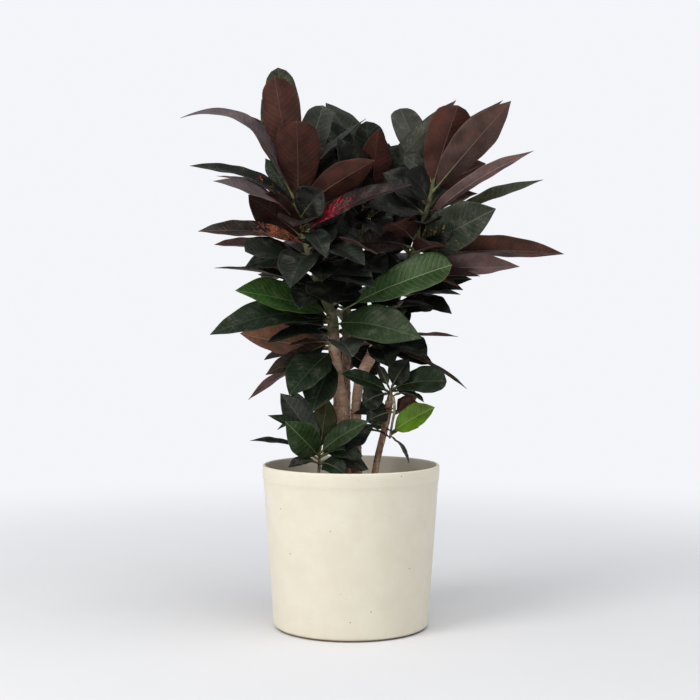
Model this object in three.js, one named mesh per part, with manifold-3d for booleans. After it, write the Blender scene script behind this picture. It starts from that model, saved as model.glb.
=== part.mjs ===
// A potted croton: a cream ceramic pot, its soil, three bark trunks with leafy crowns, a cut side stem with a
// young shoot on its top, and a low shoot of its own in the soil. Sizes in mm, +Z up, the front towards -Y,
// the centre of the pot's bottom at 0.
import * as THREE from "three";
import Module from "manifold-3d";

const wasm = await Module();
wasm.setup();

// The pot and the soil.
const POT_HEIGHT = 255;
const POT_TOP_RADIUS = 140;
const POT_FOOT_RADIUS = 122;
const WALL = 5;
const FLOOR = 9;
const FOOT_INSET = 3;
const FOOT_HEIGHT = 2.4;
const HEEL_HEIGHT = 7;
const BAND_HEIGHT = 22;
const BAND_RISE = 0.9;
const BAND_STEP = 3;
// The lip: the height of its round, and how far its round falls in and down at each edge.
const LIP = 4;
const LIP_EDGE_IN = 0.8;
const LIP_EDGE_DOWN = 0.7;
// The corner between the inner wall and the floor.
const CORNER_TOP = FLOOR + 8;
const CORNER_INSET = 6;
const POT_SIDES = 36;
const SOIL_SIDES = 18;
const HOLE_SIDES = 8;
// A hole's corners lie this much further out, so that its flats clear a round stem.
const HOLE_SPREAD = 1 / Math.cos(Math.PI / HOLE_SIDES);
const SOIL_TOP = 215;
const SOIL_SWELL = 4;
const SOIL_SHOULDER = 1;
const ROOT_DEPTH = 45;
const GAP = 0.3;

// Stems and leaves. BLADE is a leaf's thickness, RIB how far the midrib stands out below it, FOLD the angle
// of each half over the midrib in radians, and WAVE the swing of its edge, full from WAVED_WIDTH up.
const STEM_SIDES = 8;
const BLADE = 1.1;
const RIB = 0.5;
const LEAST_HALF = 0.7;
const PETIOLE_RADIUS = 1.5;
const PETIOLE = 14;
const SMALL_PETIOLE = 10;
const FOLD = 0.28;
const WAVE = 2.2;
const WAVED_WIDTH = 50;
// The wave's angle from one leaf to the next, along a blade, and from its left edge to its right, in radians.
const WAVE_OF_LEAF = 1.7;
const WAVE_OF_BLADE = 9.4;
const WAVE_OF_EDGE = 2.2;
// Height of a stalk above and below its line, and the added depth where the blade begins.
const STALK_ABOVE = 0.6;
const STALK_BELOW = 1.6;
const HEEL = 0.6;
// Stations along a blade, as shares of its length, and the share of its width there. A blade's tip is at 1.
const POINTED = [
  [0, 0.05],
  [0.16, 0.56],
  [0.4, 0.97],
  [0.66, 0.9],
  [0.87, 0.44],
];
const BLUNT = [
  [0, 0.05],
  [0.16, 0.44],
  [0.4, 0.84],
  [0.66, 1],
  [0.87, 0.84],
  [0.97, 0.42],
];
const PLAIN = [
  [0, 0.05],
  [0.22, 0.7],
  [0.55, 1],
  [0.84, 0.52],
];
const SLIGHT = [
  [0, 0.05],
  [0.3, 0.88],
  [0.72, 0.78],
];
// The most of a small leaf's length that is its stalk.
const MOST_BARE = 0.4;
// The latest place on a stalk for its first ring, as a share of the stalk.
const LATEST_START = 0.8;
// Leaves narrower than these have the plain form and the slight one.
const SLIM = 67;
const SLIGHT_WIDTH = 41;
// How far the top of a leaf's arch lies towards its tip; below 0 it lies towards the root.
const LEAN = -0.25;
// Room kept round a leaf, and how near its root a test against its own stem begins.
const CLEARANCE = 0.8;
const STEM_ROOM = 16;
const LEAST_OVERLAP = 1e-6;

// Each leaf tip and face is read from the front by an eye at this height and distance from the pot's axis.
const EYE_HEIGHT = 485;
const EYE_DISTANCE = 2143;

// Stem lines: centre x, y, z and radius at each bend, from the lowest.
const STEMS = {
  trunk_left: [
    [-14, -5, SOIL_TOP - ROOT_DEPTH, 14.5],
    [-14, -5, 224, 14.5],
    [-15, -5, 270, 14.2],
    [-16, -4, 325, 13.4],
    [-16.5, -4, 357, 12],
    [-22, -4, 388, 11],
    [-24, -4, 402, 10.6],
  ],
  crown_left: [
    [-24, -4, 402 + GAP, 10.5],
    [-26, -4, 430, 9.9],
    [-29, -4, 484, 9],
    [-44, -2, 525, 8.4],
    [-57, 0, 563, 7.8],
    [-70, 2, 600, 6.4],
    [-81, 4, 634, 5],
    [-86, 5, 661, 4.2],
    [-91, 6, 702, 2.8],
  ],
  trunk_right: [
    [9, 10, SOIL_TOP - ROOT_DEPTH, 9.5],
    [9, 10, 224, 9.5],
    [8, 8, 270, 9],
    [8, 5, 325, 8.7],
    [9, 3, 357, 8.2],
    [15, 2, 390, 9],
    [27, 0, 417, 10.8],
    [33, 0, 430, 9.5],
  ],
  crown_right: [
    [33, 0, 430 + GAP, 9.4],
    [56, 0, 484, 8.6],
    [70, 0, 515, 8],
    [94, 2, 579, 6.2],
    [113, 4, 634, 4.8],
    [129, 5, 690, 3.7],
    [132, 5, 708, 2.8],
  ],
  trunk_back: [
    [-8, 34, SOIL_TOP - ROOT_DEPTH, 8.5],
    [-8, 34, 224, 8.5],
    [-8, 30, 300, 8],
    [-8, 28, 360, 7.5],
    [-8, 28, 425, 7],
  ],
  crown_back: [
    [-8, 28, 425 + GAP, 6.9],
    [-7, 36, 500, 6.8],
    [2, 46, 560, 6.3],
    [14, 54, 610, 5.8],
    [28, 62, 660, 5.2],
    [36, 68, 700, 4.6],
    [38, 71, 722, 3],
  ],
  side_stem: [
    [33, -22, SOIL_TOP - ROOT_DEPTH, 5.5],
    [33, -22, 224, 5.5],
    [37, -23, 242, 5.5],
    [44, -24, 277, 5.6],
    [52, -25, 309, 5.8],
    [58, -25, 341, 6.3],
    [60, -25, 357, 6.3],
  ],
  side_shoot: [
    [60.5, -32, 298, 1.6],
    [64, -34, 320, 2],
    [68, -35, 345, 2.2],
    [66, -33, 362, 2.6],
    [62, -27, 368, 3],
    [62, -26, 376, 2],
  ],
  low_shoot: [
    [-51, -35, SOIL_TOP - ROOT_DEPTH / 2, 2.6],
    [-51, -35, 224, 2.6],
    [-50, -35, 250, 2.5],
    [-49, -35, 280, 2],
  ],
};

// The stems that stand in the soil.
const PLANTED = ["trunk_left", "trunk_right", "trunk_back", "side_stem", "low_shoot"];

// The callus on the cut top of the side stem, from which the side shoot grows: centre x, y, z and radius.
const CALLUS = [
  [60, -25.4, 357 + GAP, 4.6],
  [61, -26, 363, 4.2],
  [62, -26.6, 370, 3],
];

// Leaves: stem, height of the root on it, tip x, depth y, z as seen from the front, width, rise of the arch,
// and the way the upper side faces.
const LEAVES = [
  // the nearest leaves of the middle
  ["crown_left", 488, 160, -85, 571, 68, 12, [-0.25, -0.85, 0.5], { petiole: 52, form: BLUNT }],
  ["crown_left", 474, 112, -95, 454, 70, 22, [0.1, -0.9, 0.4], { petiole: 20 }],
  ["crown_left", 478, -224, -70, 460, 66, 32, [-0.1, -0.75, 0.65]],
  ["crown_left", 494, -184, -75, 530, 74, 6, [0, -0.75, 0.65]],
  ["crown_left", 446, 3, -118, 425, 58, 10, [0.1, -0.5, 0.85], { petiole: 4 }],
  ["crown_left", 456, -133, -90, 447, 42, 12, [0, -0.4, 0.9]],
  // the left head
  ["crown_left", 652, -86, -70, 799, 74, 12, [0.05, 0.95, 0.3], { form: BLUNT, petiole: 8 }],
  ["crown_left", 680, -121, -40, 870, 64, -4, [0.2, 0.95, 0.1], { petiole: 20, form: BLUNT }],
  ["crown_left", 698, -116, 60, 884, 58, -10, [0.1, -0.95, 0.3], { form: BLUNT }],
  ["crown_left", 672, -271, -20, 804, 56, 54, [0.4, -0.45, 0.8], { lean: 0.45 }],
  ["crown_left", 684, -171, 40, 810, 50, 22, [0.3, 0.8, 0.5]],
  ["crown_left", 680, -142, 55, 834, 44, -8, [-0.4, -0.7, 0.5]],
  ["crown_left", 662, -118, 45, 748, 46, 4, [0.1, -0.9, 0.3]],
  ["crown_left", 656, -256, -35, 728, 46, 22, [0.2, -0.45, 0.85]],
  ["crown_left", 634, -219, -85, 704, 50, 16, [0.2, -0.5, 0.8], { petiole: 8 }],
  ["crown_left", 660, -213, 30, 712, 44, 12, [0.2, -0.2, 1]],
  ["crown_left", 612, -163, -45, 682, 66, 4, [0.1, 0.9, 0.35], { petiole: 6 }],
  ["crown_left", 602, -243, -60, 624, 52, 13, [0.05, -0.6, 0.8], { petiole: 8 }],
  ["crown_left", 586, -217, 15, 603, 50, 6, [0, 0.4, 1]],
  ["crown_left", 566, -168, -100, 592, 74, 8, [-0.1, -0.7, 0.7], { petiole: 6, form: BLUNT }],
  ["crown_left", 570, -97, -135, 534, 70, 28, [-0.1, -0.65, 0.75]],
  ["crown_left", 594, 22, -120, 570, 66, 20, [0.1, -0.65, 0.75]],
  ["crown_left", 612, -40, -150, 582, 44, 20, [0, -0.35, 1]],
  ["crown_left", 520, -217, -15, 566, 42, 14, [0.2, -0.2, 1]],
  ["crown_left", 536, -148, 35, 556, 54, 4, [0, -0.4, 1]],
  ["crown_left", 486, -95, -60, 496, 40, 4, [0, -0.7, 0.6]],
  ["crown_left", 440, -176, 30, 462, 64, -6, [0, 0.8, 0.5]],
  ["crown_left", 448, -98, -50, 443, 36, 4, [0, 0.05, 1]],
  ["crown_left", 438, -138, 5, 420, 54, 4, [0, 0.35, 1]],
  ["crown_left", 426, -112, -20, 408, 38, 2, [-0.1, -0.6, 0.75]],
  ["crown_left", 424, -163, 20, 357, 32, 14, [-0.3, 0.5, 0.8]],
  ["crown_left", 436, -98, -50, 364, 72, 8, [-0.3, -0.8, 0.4]],
  ["crown_left", 426, -62, -44, 337, 60, 6, [-0.2, -0.85, 0.3]],
  // the leaves between the heads
  ["crown_left", 690, -44, 75, 824, 52, -6, [0, -0.9, 0.4], { form: BLUNT }],
  ["crown_back", 706, -40, 95, 828, 60, 12, [0.2, -0.9, 0.4], { form: POINTED }],
  ["crown_left", 680, 24, 35, 803, 40, 10, [-0.5, -0.3, 0.8]],
  ["crown_back", 690, 24, 15, 799, 56, 8, [0.1, -0.9, 0.4], { form: BLUNT }],
  ["crown_back", 668, 43, -34, 786, 54, 8, [0.2, 0.9, 0.3], { petiole: 6 }],
  ["crown_left", 672, -28, 40, 756, 66, 8, [0.2, -0.7, 0.6]],
  ["crown_left", 655, 38, -60, 737, 56, 12, [0.2, 0.7, 0.6]],
  ["crown_left", 616, 96, -100, 698, 56, 16, [-0.2, -0.6, 0.75]],
  ["crown_left", 604, -24, -88, 616, 66, 8, [0.1, -0.75, 0.6]],
  ["crown_left", 626, -92, -110, 632, 66, 12, [0, -0.85, 0.5]],
  ["crown_left", 560, -46, -120, 545, 66, 16, [0.1, -0.6, 0.8]],
  ["crown_left", 524, -82, -95, 500, 64, 12, [-0.1, -0.6, 0.75]],
  ["crown_right", 618, 118, -100, 636, 64, 10, [0, -0.6, 0.7]],
  ["crown_right", 498, 60, -62, 478, 56, 10, [0, -0.6, 0.7]],
  ["crown_right", 668, 86, -50, 718, 66, 8, [0.2, -0.8, 0.5]],
  ["crown_right", 650, 24, -62, 664, 66, 8, [0, -0.75, 0.6]],
  ["crown_back", 684, 100, 46, 762, 66, 8, [-0.3, -0.85, 0.4]],
  ["crown_back", 640, 46, -40, 616, 62, 14, [0.2, -0.8, 0.55]],
  ["crown_right", 596, 10, -30, 606, 62, 10, [0, -0.75, 0.6]],
  ["crown_back", 600, -44, -30, 646, 64, 12, [0, -0.85, 0.5]],
  ["crown_back", 566, 56, -60, 556, 64, 12, [0, -0.7, 0.7]],
  ["crown_left", 542, 36, -90, 534, 66, 12, [0.2, -0.6, 0.75]],
  ["crown_left", 606, 42, -110, 588, 40, 10, [0.1, 0.3, 0.95]],
  ["crown_left", 640, -44, -30, 690, 66, 8, [0.2, -0.85, 0.5]],
  ["crown_left", 598, -34, -100, 604, 66, 10, [0, -0.6, 0.8]],
  ["crown_left", 556, 34, -85, 552, 64, 10, [0, -0.6, 0.8]],
  ["crown_left", 532, -118, -20, 514, 62, 6, [0, -0.8, 0.6]],
  ["crown_left", 506, 26, 12, 510, 62, 8, [0, -0.7, 0.6]],
  ["crown_left", 546, -30, -100, 508, 66, 8, [0, -0.7, 0.6]],
  ["crown_left", 656, -38, 60, 786, 66, 4, [0.1, -0.8, 0.5]],
  ["crown_back", 660, -22, 20, 772, 66, 8, [0, -0.8, 0.5]],
  ["crown_back", 676, 60, 30, 764, 66, 8, [0.1, -0.9, 0.4]],
  ["crown_back", 640, -50, 0, 706, 66, 8, [0, -0.7, 0.6]],
  ["crown_back", 620, 40, -30, 668, 66, 8, [0, -0.7, 0.6]],
  ["crown_back", 560, -10, -40, 560, 64, 8, [0, -0.6, 0.8]],
  ["crown_back", 440, 46, 8, 408, 50, 6, [0, -0.8, 0.5]],
  ["crown_right", 470, 8, -52, 474, 60, 8, [0, -0.6, 0.8]],
  ["crown_right", 520, 36, -78, 504, 66, 8, [0, -0.6, 0.8]],
  ["crown_right", 560, 70, -72, 580, 66, 8, [0, -0.6, 0.8]],
  ["crown_right", 600, 172, -60, 640, 66, 8, [-0.1, -0.85, 0.5]],
  ["crown_right", 664, 50, -10, 716, 66, 8, [0.2, -0.7, 0.6]],
  ["crown_right", 478, 92, -72, 478, 56, 8, [0, -0.6, 0.8]],
  ["crown_right", 456, 36, -66, 442, 54, 6, [0, -0.6, 0.8]],
  // the right head
  ["crown_right", 682, 170, -40, 824, 70, 10, [-0.1, 0.95, 0.3], { form: BLUNT, petiole: 8 }],
  ["crown_back", 690, 167, 20, 832, 42, 6, [-0.3, -0.8, 0.5]],
  ["crown_right", 692, 78, 85, 819, 54, 6, [0, -0.95, 0.3], { form: BLUNT }],
  ["crown_right", 694, 241, 45, 832, 56, 14, [-0.5, -0.5, 0.6]],
  ["crown_right", 684, 254, 5, 831, 70, 2, [-0.3, 0.85, 0.4], { form: PLAIN }],
  ["crown_right", 632, 290, -45, 752, 38, 16, [-0.3, 0.6, 0.7]],
  ["crown_right", 612, 305, -15, 706, 48, 11, [-0.2, -0.45, 0.9]],
  ["crown_right", 650, 176, 45, 716, 58, 8, [-0.2, -0.8, 0.5]],
  ["crown_right", 636, 201, 10, 684, 56, 8, [-0.3, 0.3, 0.9]],
  ["crown_right", 588, 230, -75, 660, 82, 4, [-0.1, -0.95, 0.3]],
  ["crown_right", 590, 150, -92, 602, 52, 4, [0, 0.6, 0.7]],
  ["crown_right", 580, 338, -60, 588, 66, 13, [0, 0.55, 0.83]],
  ["crown_right", 558, 268, -30, 568, 56, 5, [0, 0.6, 0.8]],
  ["crown_right", 548, 205, 15, 553, 44, 4, [0, 0.4, 1]],
  ["crown_right", 550, 170, -85, 536, 52, 8, [0, 0.4, 0.9]],
  ["crown_right", 534, 178, -40, 531, 48, 6, [0, -0.5, 0.85]],
  ["crown_right", 522, 174, 25, 524, 40, 4, [0, -0.4, 1]],
  ["crown_right", 512, 160, -30, 493, 52, 10, [0, -0.4, 0.9]],
  ["crown_right", 606, 64, -120, 636, 56, 8, [0, 0.75, 0.6]],
  ["crown_right", 456, 170, -10, 457, 36, 3, [0, 0.1, 1]],
  ["crown_right", 452, 121, -50, 426, 62, 8, [0, -0.5, 0.85]],
  ["crown_right", 446, 62, -75, 408, 52, 8, [0, -0.7, 0.7]],
  ["crown_right", 440, 184, -15, 374, 32, 12, [0.2, 0.25, 0.95]],
  // the low shoot
  ["low_shoot", 276, -112, -20, 367, 52, 8, [0.2, -0.8, 0.5]],
  ["low_shoot", 276, -132, -45, 332, 34, 14, [0.1, -0.6, 0.8]],
  ["low_shoot", 276, -117, 5, 309, 28, 28, [0, -0.1, 1]],
  ["low_shoot", 270, -104, -85, 322, 54, 5, [-0.1, -0.9, 0.3]],
  ["low_shoot", 276, -38, -52, 360, 42, 5, [0.1, 0.9, 0.3]],
  ["low_shoot", 274, 28, -85, 323, 42, 8, [-0.2, -0.8, 0.5]],
  ["low_shoot", 268, 18, -88, 268, 42, 24, [0.3, -0.7, 0.5]],
  ["low_shoot", 264, -160, -55, 292, 28, 12, [0.2, -0.25, 0.95]],
  ["low_shoot", 258, -100, -60, 249, 26, 10, [-0.4, -0.6, 0.6]],
  ["low_shoot", 258, -8, -78, 238, 40, 10, [0.2, -0.8, 0.5]],
  ["low_shoot", 262, 28, -55, 246, 36, 14, [0.2, -0.7, 0.6]],
  ["low_shoot", 270, 38, -45, 318, 36, 2, [0.3, -0.8, 0.3]],
  // the side shoot
  ["side_shoot", 306, 133, -60, 345, 46, 5, [-0.2, -0.85, 0.5]],
  ["side_shoot", 302, 108, -15, 312, 26, 8, [0, -0.3, 0.9]],
  ["side_shoot", 303, 92, -50, 256, 16, 5, [0.6, -0.3, 0.7]],
  ["side_shoot", 364, 116, -55, 353, 26, 10, [0, -0.2, 1]],
  ["side_shoot", 335, 108, -60, 351, 40, 3, [-0.3, 0.6, 0.6]],
  ["side_shoot", 373, 152, -50, 386, 50, 12, [-0.1, -0.8, 0.55], { form: BLUNT }],
  ["side_shoot", 374, 92, -30, 421, 42, 4, [-0.2, -0.85, 0.4]],
  ["side_shoot", 369, -16, -58, 398, 36, 6, [0, -0.75, 0.65]],
  ["side_shoot", 368, 18, -42, 350, 48, 10, [0, -0.85, 0.5]],
  ["side_shoot", 340, 24, -60, 322, 40, 5, [-0.2, -0.8, 0.5]],
  ["side_shoot", 300, 24, -50, 308, 16, 4, [0, -0.3, 1]],
  ["side_shoot", 372, 43, -20, 412, 18, 2, [0, -0.9, 0.3]],
  // the last leaves of the middle
  ["crown_left", 560, -22, -112, 584, 60, 8, [0, -0.85, 0.5]],
  ["crown_right", 556, 42, -70, 560, 64, 8, [0, -0.85, 0.5]],
  ["crown_left", 548, 18, -60, 534, 56, 8, [0, -0.85, 0.5]],
  ["crown_back", 650, 54, 0, 652, 60, 8, [0, -0.85, 0.5]],
];

// Leaves of the sides, the back and the inside come by rule up each crown: how many, the lowest and the
// highest root, and the seed of the first.
const FILL = [
  ["crown_back", 27, 440, 716, 200],
  ["crown_left", 21, 440, 694, 300],
  ["crown_right", 24, 446, 700, 400],
];
const GOLDEN_SHARE = 0.618034;
// Their least and greatest length, width and rise, and how far their faces tip from level.
const FILL_LENGTHS = [139, 190];
const FILL_WIDTHS = [58, 76];
const FILL_RISES = [10, 24];
const FILL_TIPPING = 0.25;
// They spread over this angle from this start, and climb from a droop to a steep rise, in radians.
const FILL_ARC = 1.2 * Math.PI;
const FILL_START = -0.3;
const FILL_DROOP = -0.25;
const FILL_CLIMB = 1.45;
const FILL_CLIMB_POWER = 1.6;
// The room for their tips, seen from the front: height, left limit, right limit.
const ROOM = [
  [330, -90, 70],
  [420, -120, 100],
  [480, -190, 92],
  [540, -175, 170],
  [600, -190, 230],
  [700, -190, 240],
  [780, -135, 200],
];
const ROOM_TOP = 796;
const ROOM_FRONT = -45;
// Ways in which a leaf may bend clear of others: depth steps for the leaves of the table, turns and lifts for
// those by rule.
const DEPTH_STEPS = [0, -14, 14, -28, 28, -42, 42, -56, 56, 70, -70];
const TURNS = [0, 0.3, -0.3, 0.6, -0.6];
const LIFTS = [0, 0.22, -0.22, 0.44];

const vector = (p) => new THREE.Vector3(p[0], p[1], p[2]);

// A repeatable draw from 0 to 1.
function draw(seed) {
  const value = Math.sin(seed * 12.9898) * 43758.5453;
  return value - Math.floor(value);
}

const between = (range, share) => range[0] + (range[1] - range[0]) * share;

// The value of a column at a place between the rows of a table whose first column rises.
function mix(knots, at, column) {
  let i = 1;
  while (i < knots.length - 1 && at > knots[i][0]) i += 1;
  const [low, high] = [knots[i - 1], knots[i]];
  const share = (at - low[0]) / (high[0] - low[0]);
  return between([low[column], high[column]], Math.min(1, Math.max(0, share)));
}

// The centre of a stem at a height.
function stemPoint(name, height) {
  const knots = STEMS[name].map(([x, y, z]) => [z, x, y]);
  return new THREE.Vector3(mix(knots, height, 1), mix(knots, height, 2), height);
}

// The point that is seen at x, z from the front when it lies at depth y.
function seenAt(x, y, z) {
  const scale = (EYE_DISTANCE + y) / EYE_DISTANCE;
  return new THREE.Vector3(x * scale, y, EYE_HEIGHT + (z - EYE_HEIGHT) * scale);
}

function solidOf(points, faces) {
  const positions = new Float32Array(points.flatMap((p) => [p.x, p.y, p.z]));
  const triangles = new Uint32Array(faces.flat());
  return new wasm.Manifold(new wasm.Mesh({ numProp: 3, vertProperties: positions, triVerts: triangles }));
}

// A closed solid through rings of equally many points, up to a flat end or a tip. Quads up to column `turn`
// are split one way, later ones the other way, so that the two faces of a blade are split alike.
function loft(rings, turn, tip) {
  const around = rings[0].length;
  const faces = [];
  for (let i = 0; i < rings.length - 1; i += 1)
    for (let j = 0; j < around; j += 1) {
      const a = i * around + j;
      const b = i * around + ((j + 1) % around);
      const [c, d] = [b + around, a + around];
      if (j < turn) faces.push([a, b, c], [a, c, d]);
      else faces.push([a, b, d], [b, c, d]);
    }
  const last = (rings.length - 1) * around;
  for (let j = 1; j < around - 1; j += 1) {
    faces.push([0, j + 1, j]);
    if (!tip) faces.push([last, last + j, last + j + 1]);
  }
  if (!tip) return solidOf(rings.flat(), faces);
  for (let j = 0; j < around; j += 1) {
    faces.push([last + j, last + ((j + 1) % around), last + around]);
  }
  return solidOf([...rings.flat(), tip], faces);
}

// A level ring of points round a centre.
function ringAt(x, y, z, radius, sides) {
  return Array.from({ length: sides }, (_, i) => {
    const angle = (2 * Math.PI * i) / sides;
    return new THREE.Vector3(x + radius * Math.cos(angle), y + radius * Math.sin(angle), z);
  });
}

function stemSolid(line) {
  const rings = line.map(([x, y, z, radius]) => ringAt(x, y, z, radius, STEM_SIDES));
  return loft(rings, STEM_SIDES);
}

// The centre, side and upper normal of a leaf at a share of its way from root to tip.
function leafFrame(leaf, share) {
  const chord = leaf.tip.clone().sub(leaf.root);
  const along = chord.clone().normalize();
  const up = leaf.face.clone().addScaledVector(along, -leaf.face.dot(along)).normalize();
  const tilt = 1 - leaf.lean + 2 * leaf.lean * share;
  const arch = 4 * share * (1 - share) * tilt;
  const slope = 4 * (1 - 2 * share) * tilt + 8 * share * (1 - share) * leaf.lean;
  const centre = leaf.root.clone().addScaledVector(chord, share).addScaledVector(up, leaf.rise * arch);
  const heading = chord.addScaledVector(up, leaf.rise * slope).normalize();
  const side = heading.clone().cross(up).normalize();
  return { centre, side, normal: side.clone().cross(heading) };
}

// Six points round a leaf's section: the upper face from left to right, then the lower one back again.
function leafRing(leaf, share, half, waves, above, below) {
  const { centre, side, normal } = leafFrame(leaf, share);
  const at = (across, lift) => centre.clone().addScaledVector(side, across).addScaledVector(normal, lift);
  const reach = half * Math.cos(FOLD);
  const raise = half * Math.sin(FOLD);
  const [left, right] = [raise + waves[0], raise + waves[1]];
  return [
    at(-reach, left + above),
    at(0, above),
    at(reach, right + above),
    at(reach, right - below),
    at(0, -below - RIB),
    at(-reach, left - below),
  ];
}

// The rings of a leaf from its root in the stem to its tip. Spare is room added to each face for a test of
// clearance, and `room` is how near its root such a test begins.
function leafRings(leaf, spare, room) {
  const length = leaf.tip.distanceTo(leaf.root);
  const bare = Math.min(leaf.petiole / length, MOST_BARE);
  const start = Math.min(room / length, bare * LATEST_START);
  const [above, below] = [STALK_ABOVE + spare, STALK_BELOW + spare];
  const rings = [leafRing(leaf, start, PETIOLE_RADIUS + spare, [0, 0], above, below)];
  leaf.form.forEach(([station, share]) => {
    const place = bare + (1 - bare) * station;
    const half = Math.max((leaf.width / 2) * share, station ? LEAST_HALF : PETIOLE_RADIUS);
    const phase = leaf.seed * WAVE_OF_LEAF + station * WAVE_OF_BLADE;
    const swing = WAVE * share * Math.min(1, leaf.width / WAVED_WIDTH);
    const waves = [swing * Math.sin(phase), swing * Math.sin(phase + WAVE_OF_EDGE)];
    const depth = BLADE / 2 + (station ? 0 : HEEL);
    rings.push(leafRing(leaf, place, half + spare, waves, BLADE / 2 + spare, depth + spare));
  });
  return rings;
}

function leafSolid(leaf, spare = 0, room = 0) {
  const tip = leafFrame(leaf, 1).centre.addScaledVector(leaf.tip.clone().sub(leaf.root).normalize(), spare);
  return loft(leafRings(leaf, spare, room), 3, tip);
}

function formOf(width) {
  if (width < SLIGHT_WIDTH) return SLIGHT;
  return width < SLIM ? PLAIN : POINTED;
}

// A leaf from its row of the table.
function writtenLeaf(row, seed, step) {
  const [stem, height, x, y, z, width, rise, face, more = {}] = row;
  const small = stem === "low_shoot" || stem === "side_shoot";
  return {
    stem,
    seed,
    width,
    rise,
    root: stemPoint(stem, height),
    tip: seenAt(x, y + DEPTH_STEPS[step], z),
    face: vector(face),
    petiole: more.petiole ?? (small ? SMALL_PETIOLE : PETIOLE),
    form: more.form ?? formOf(width),
    lean: more.lean ?? LEAN,
  };
}

// A leaf by rule: the i-th of `count` up a crown, a golden share of the arc round from the last, and steeper
// towards the top.
function ruledLeaf(stem, i, count, low, high, seed, step) {
  const share = (i + 0.5) / count;
  const turn = FILL_START + FILL_ARC * ((i * GOLDEN_SHARE) % 1) + TURNS[step % TURNS.length];
  const lift = FILL_DROOP + FILL_CLIMB * share ** FILL_CLIMB_POWER + LIFTS[Math.floor(step / TURNS.length)];
  const length = between(FILL_LENGTHS, draw(seed));
  const root = stemPoint(stem, low + (high - low) * share);
  const level = Math.cos(lift);
  const tipping = [-FILL_TIPPING, FILL_TIPPING];
  const heading = new THREE.Vector3(Math.cos(turn) * level, Math.sin(turn) * level, Math.sin(lift));
  return {
    stem,
    seed,
    width: between(FILL_WIDTHS, draw(seed + 0.5)),
    rise: between(FILL_RISES, draw(seed + 0.25)),
    root,
    tip: root.clone().addScaledVector(heading, length),
    face: new THREE.Vector3(between(tipping, draw(seed + 0.7)), between(tipping, draw(seed + 0.8)), 1),
    petiole: PETIOLE,
    form: PLAIN,
    lean: LEAN,
  };
}

// Whether the tip of a leaf by rule is seen inside the room for it.
function inRoom(leaf) {
  const scale = EYE_DISTANCE / (EYE_DISTANCE + leaf.tip.y);
  const height = EYE_HEIGHT + (leaf.tip.z - EYE_HEIGHT) * scale;
  const x = leaf.tip.x * scale;
  const within = x > mix(ROOM, height, 1) && x < mix(ROOM, height, 2);
  return within && height < ROOM_TOP && leaf.tip.y > ROOM_FRONT;
}

function overlaps(box, other) {
  return [0, 1, 2].every((k) => box.min[k] <= other.max[k] && other.min[k] <= box.max[k]);
}

// Whether a leaf with room to spare is clear of all solids, or at least of those of other nodes.
function isClear(leaf, placed, ownToo) {
  const whole = leafSolid(leaf, CLEARANCE);
  const outer = leafSolid(leaf, CLEARANCE, STEM_ROOM);
  const box = whole.boundingBox();
  return placed.every((one) => {
    const own = one.stem === leaf.stem;
    if ((own && !ownToo) || !overlaps(box, one.box)) return true;
    return (own ? outer : whole).intersect(one.solid).volume() < LEAST_OVERLAP;
  });
}

function place(placed, stem, solid) {
  placed.push({ stem, solid, box: solid.boundingBox() });
}

// The first way of a leaf that is clear, or null.
function firstClear(make, steps, placed, ownToo) {
  for (let step = 0; step < steps; step += 1) {
    const leaf = make(step);
    if (leaf && isClear(leaf, placed, ownToo)) return leaf;
  }
  return null;
}

// All leaves, each bent clear of those before it or left out.
function growLeaves(placed) {
  LEAVES.forEach((row, seed) => {
    const make = (step) => writtenLeaf(row, seed, step);
    const steps = DEPTH_STEPS.length;
    const leaf = firstClear(make, steps, placed, true) ?? firstClear(make, steps, placed, false);
    if (leaf) place(placed, leaf.stem, leafSolid(leaf));
  });
  FILL.forEach(([stem, count, low, high, seed]) => {
    for (let i = 0; i < count; i += 1) {
      const make = (step) => {
        const leaf = ruledLeaf(stem, i, count, low, high, seed + i, step);
        return inRoom(leaf) ? leaf : null;
      };
      const leaf = firstClear(make, TURNS.length * LIFTS.length, placed, true);
      if (leaf) place(placed, leaf.stem, leafSolid(leaf));
    }
  });
}

// A solid of revolution from a closed profile of radius and height pairs.
function turned(profile, sides) {
  const points = profile.map(([r, z]) => new THREE.Vector2(r, z));
  const geometry = new THREE.LatheGeometry(points, sides).rotateX(Math.PI / 2);
  const found = new Map();
  const spots = [];
  const index = [];
  const corners = geometry.getAttribute("position");
  for (let i = 0; i < corners.count; i += 1) {
    const spot = new THREE.Vector3().fromBufferAttribute(corners, i);
    const key = [spot.x, spot.y, spot.z].map((v) => Math.round(v * 1000)).join();
    if (!found.has(key)) found.set(key, spots.push(spot) - 1);
    index.push(found.get(key));
  }
  const faces = [];
  for (let i = 0; i < geometry.index.count; i += 3) {
    const face = [0, 1, 2].map((k) => index[geometry.index.getX(i + k)]);
    if (new Set(face).size === 3) faces.push(face);
  }
  return solidOf(spots, faces);
}

function outerRadius(z) {
  return POT_FOOT_RADIUS + ((POT_TOP_RADIUS - POT_FOOT_RADIUS) * z) / POT_HEIGHT;
}

const innerRadius = (z) => outerRadius(z) - WALL;

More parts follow.
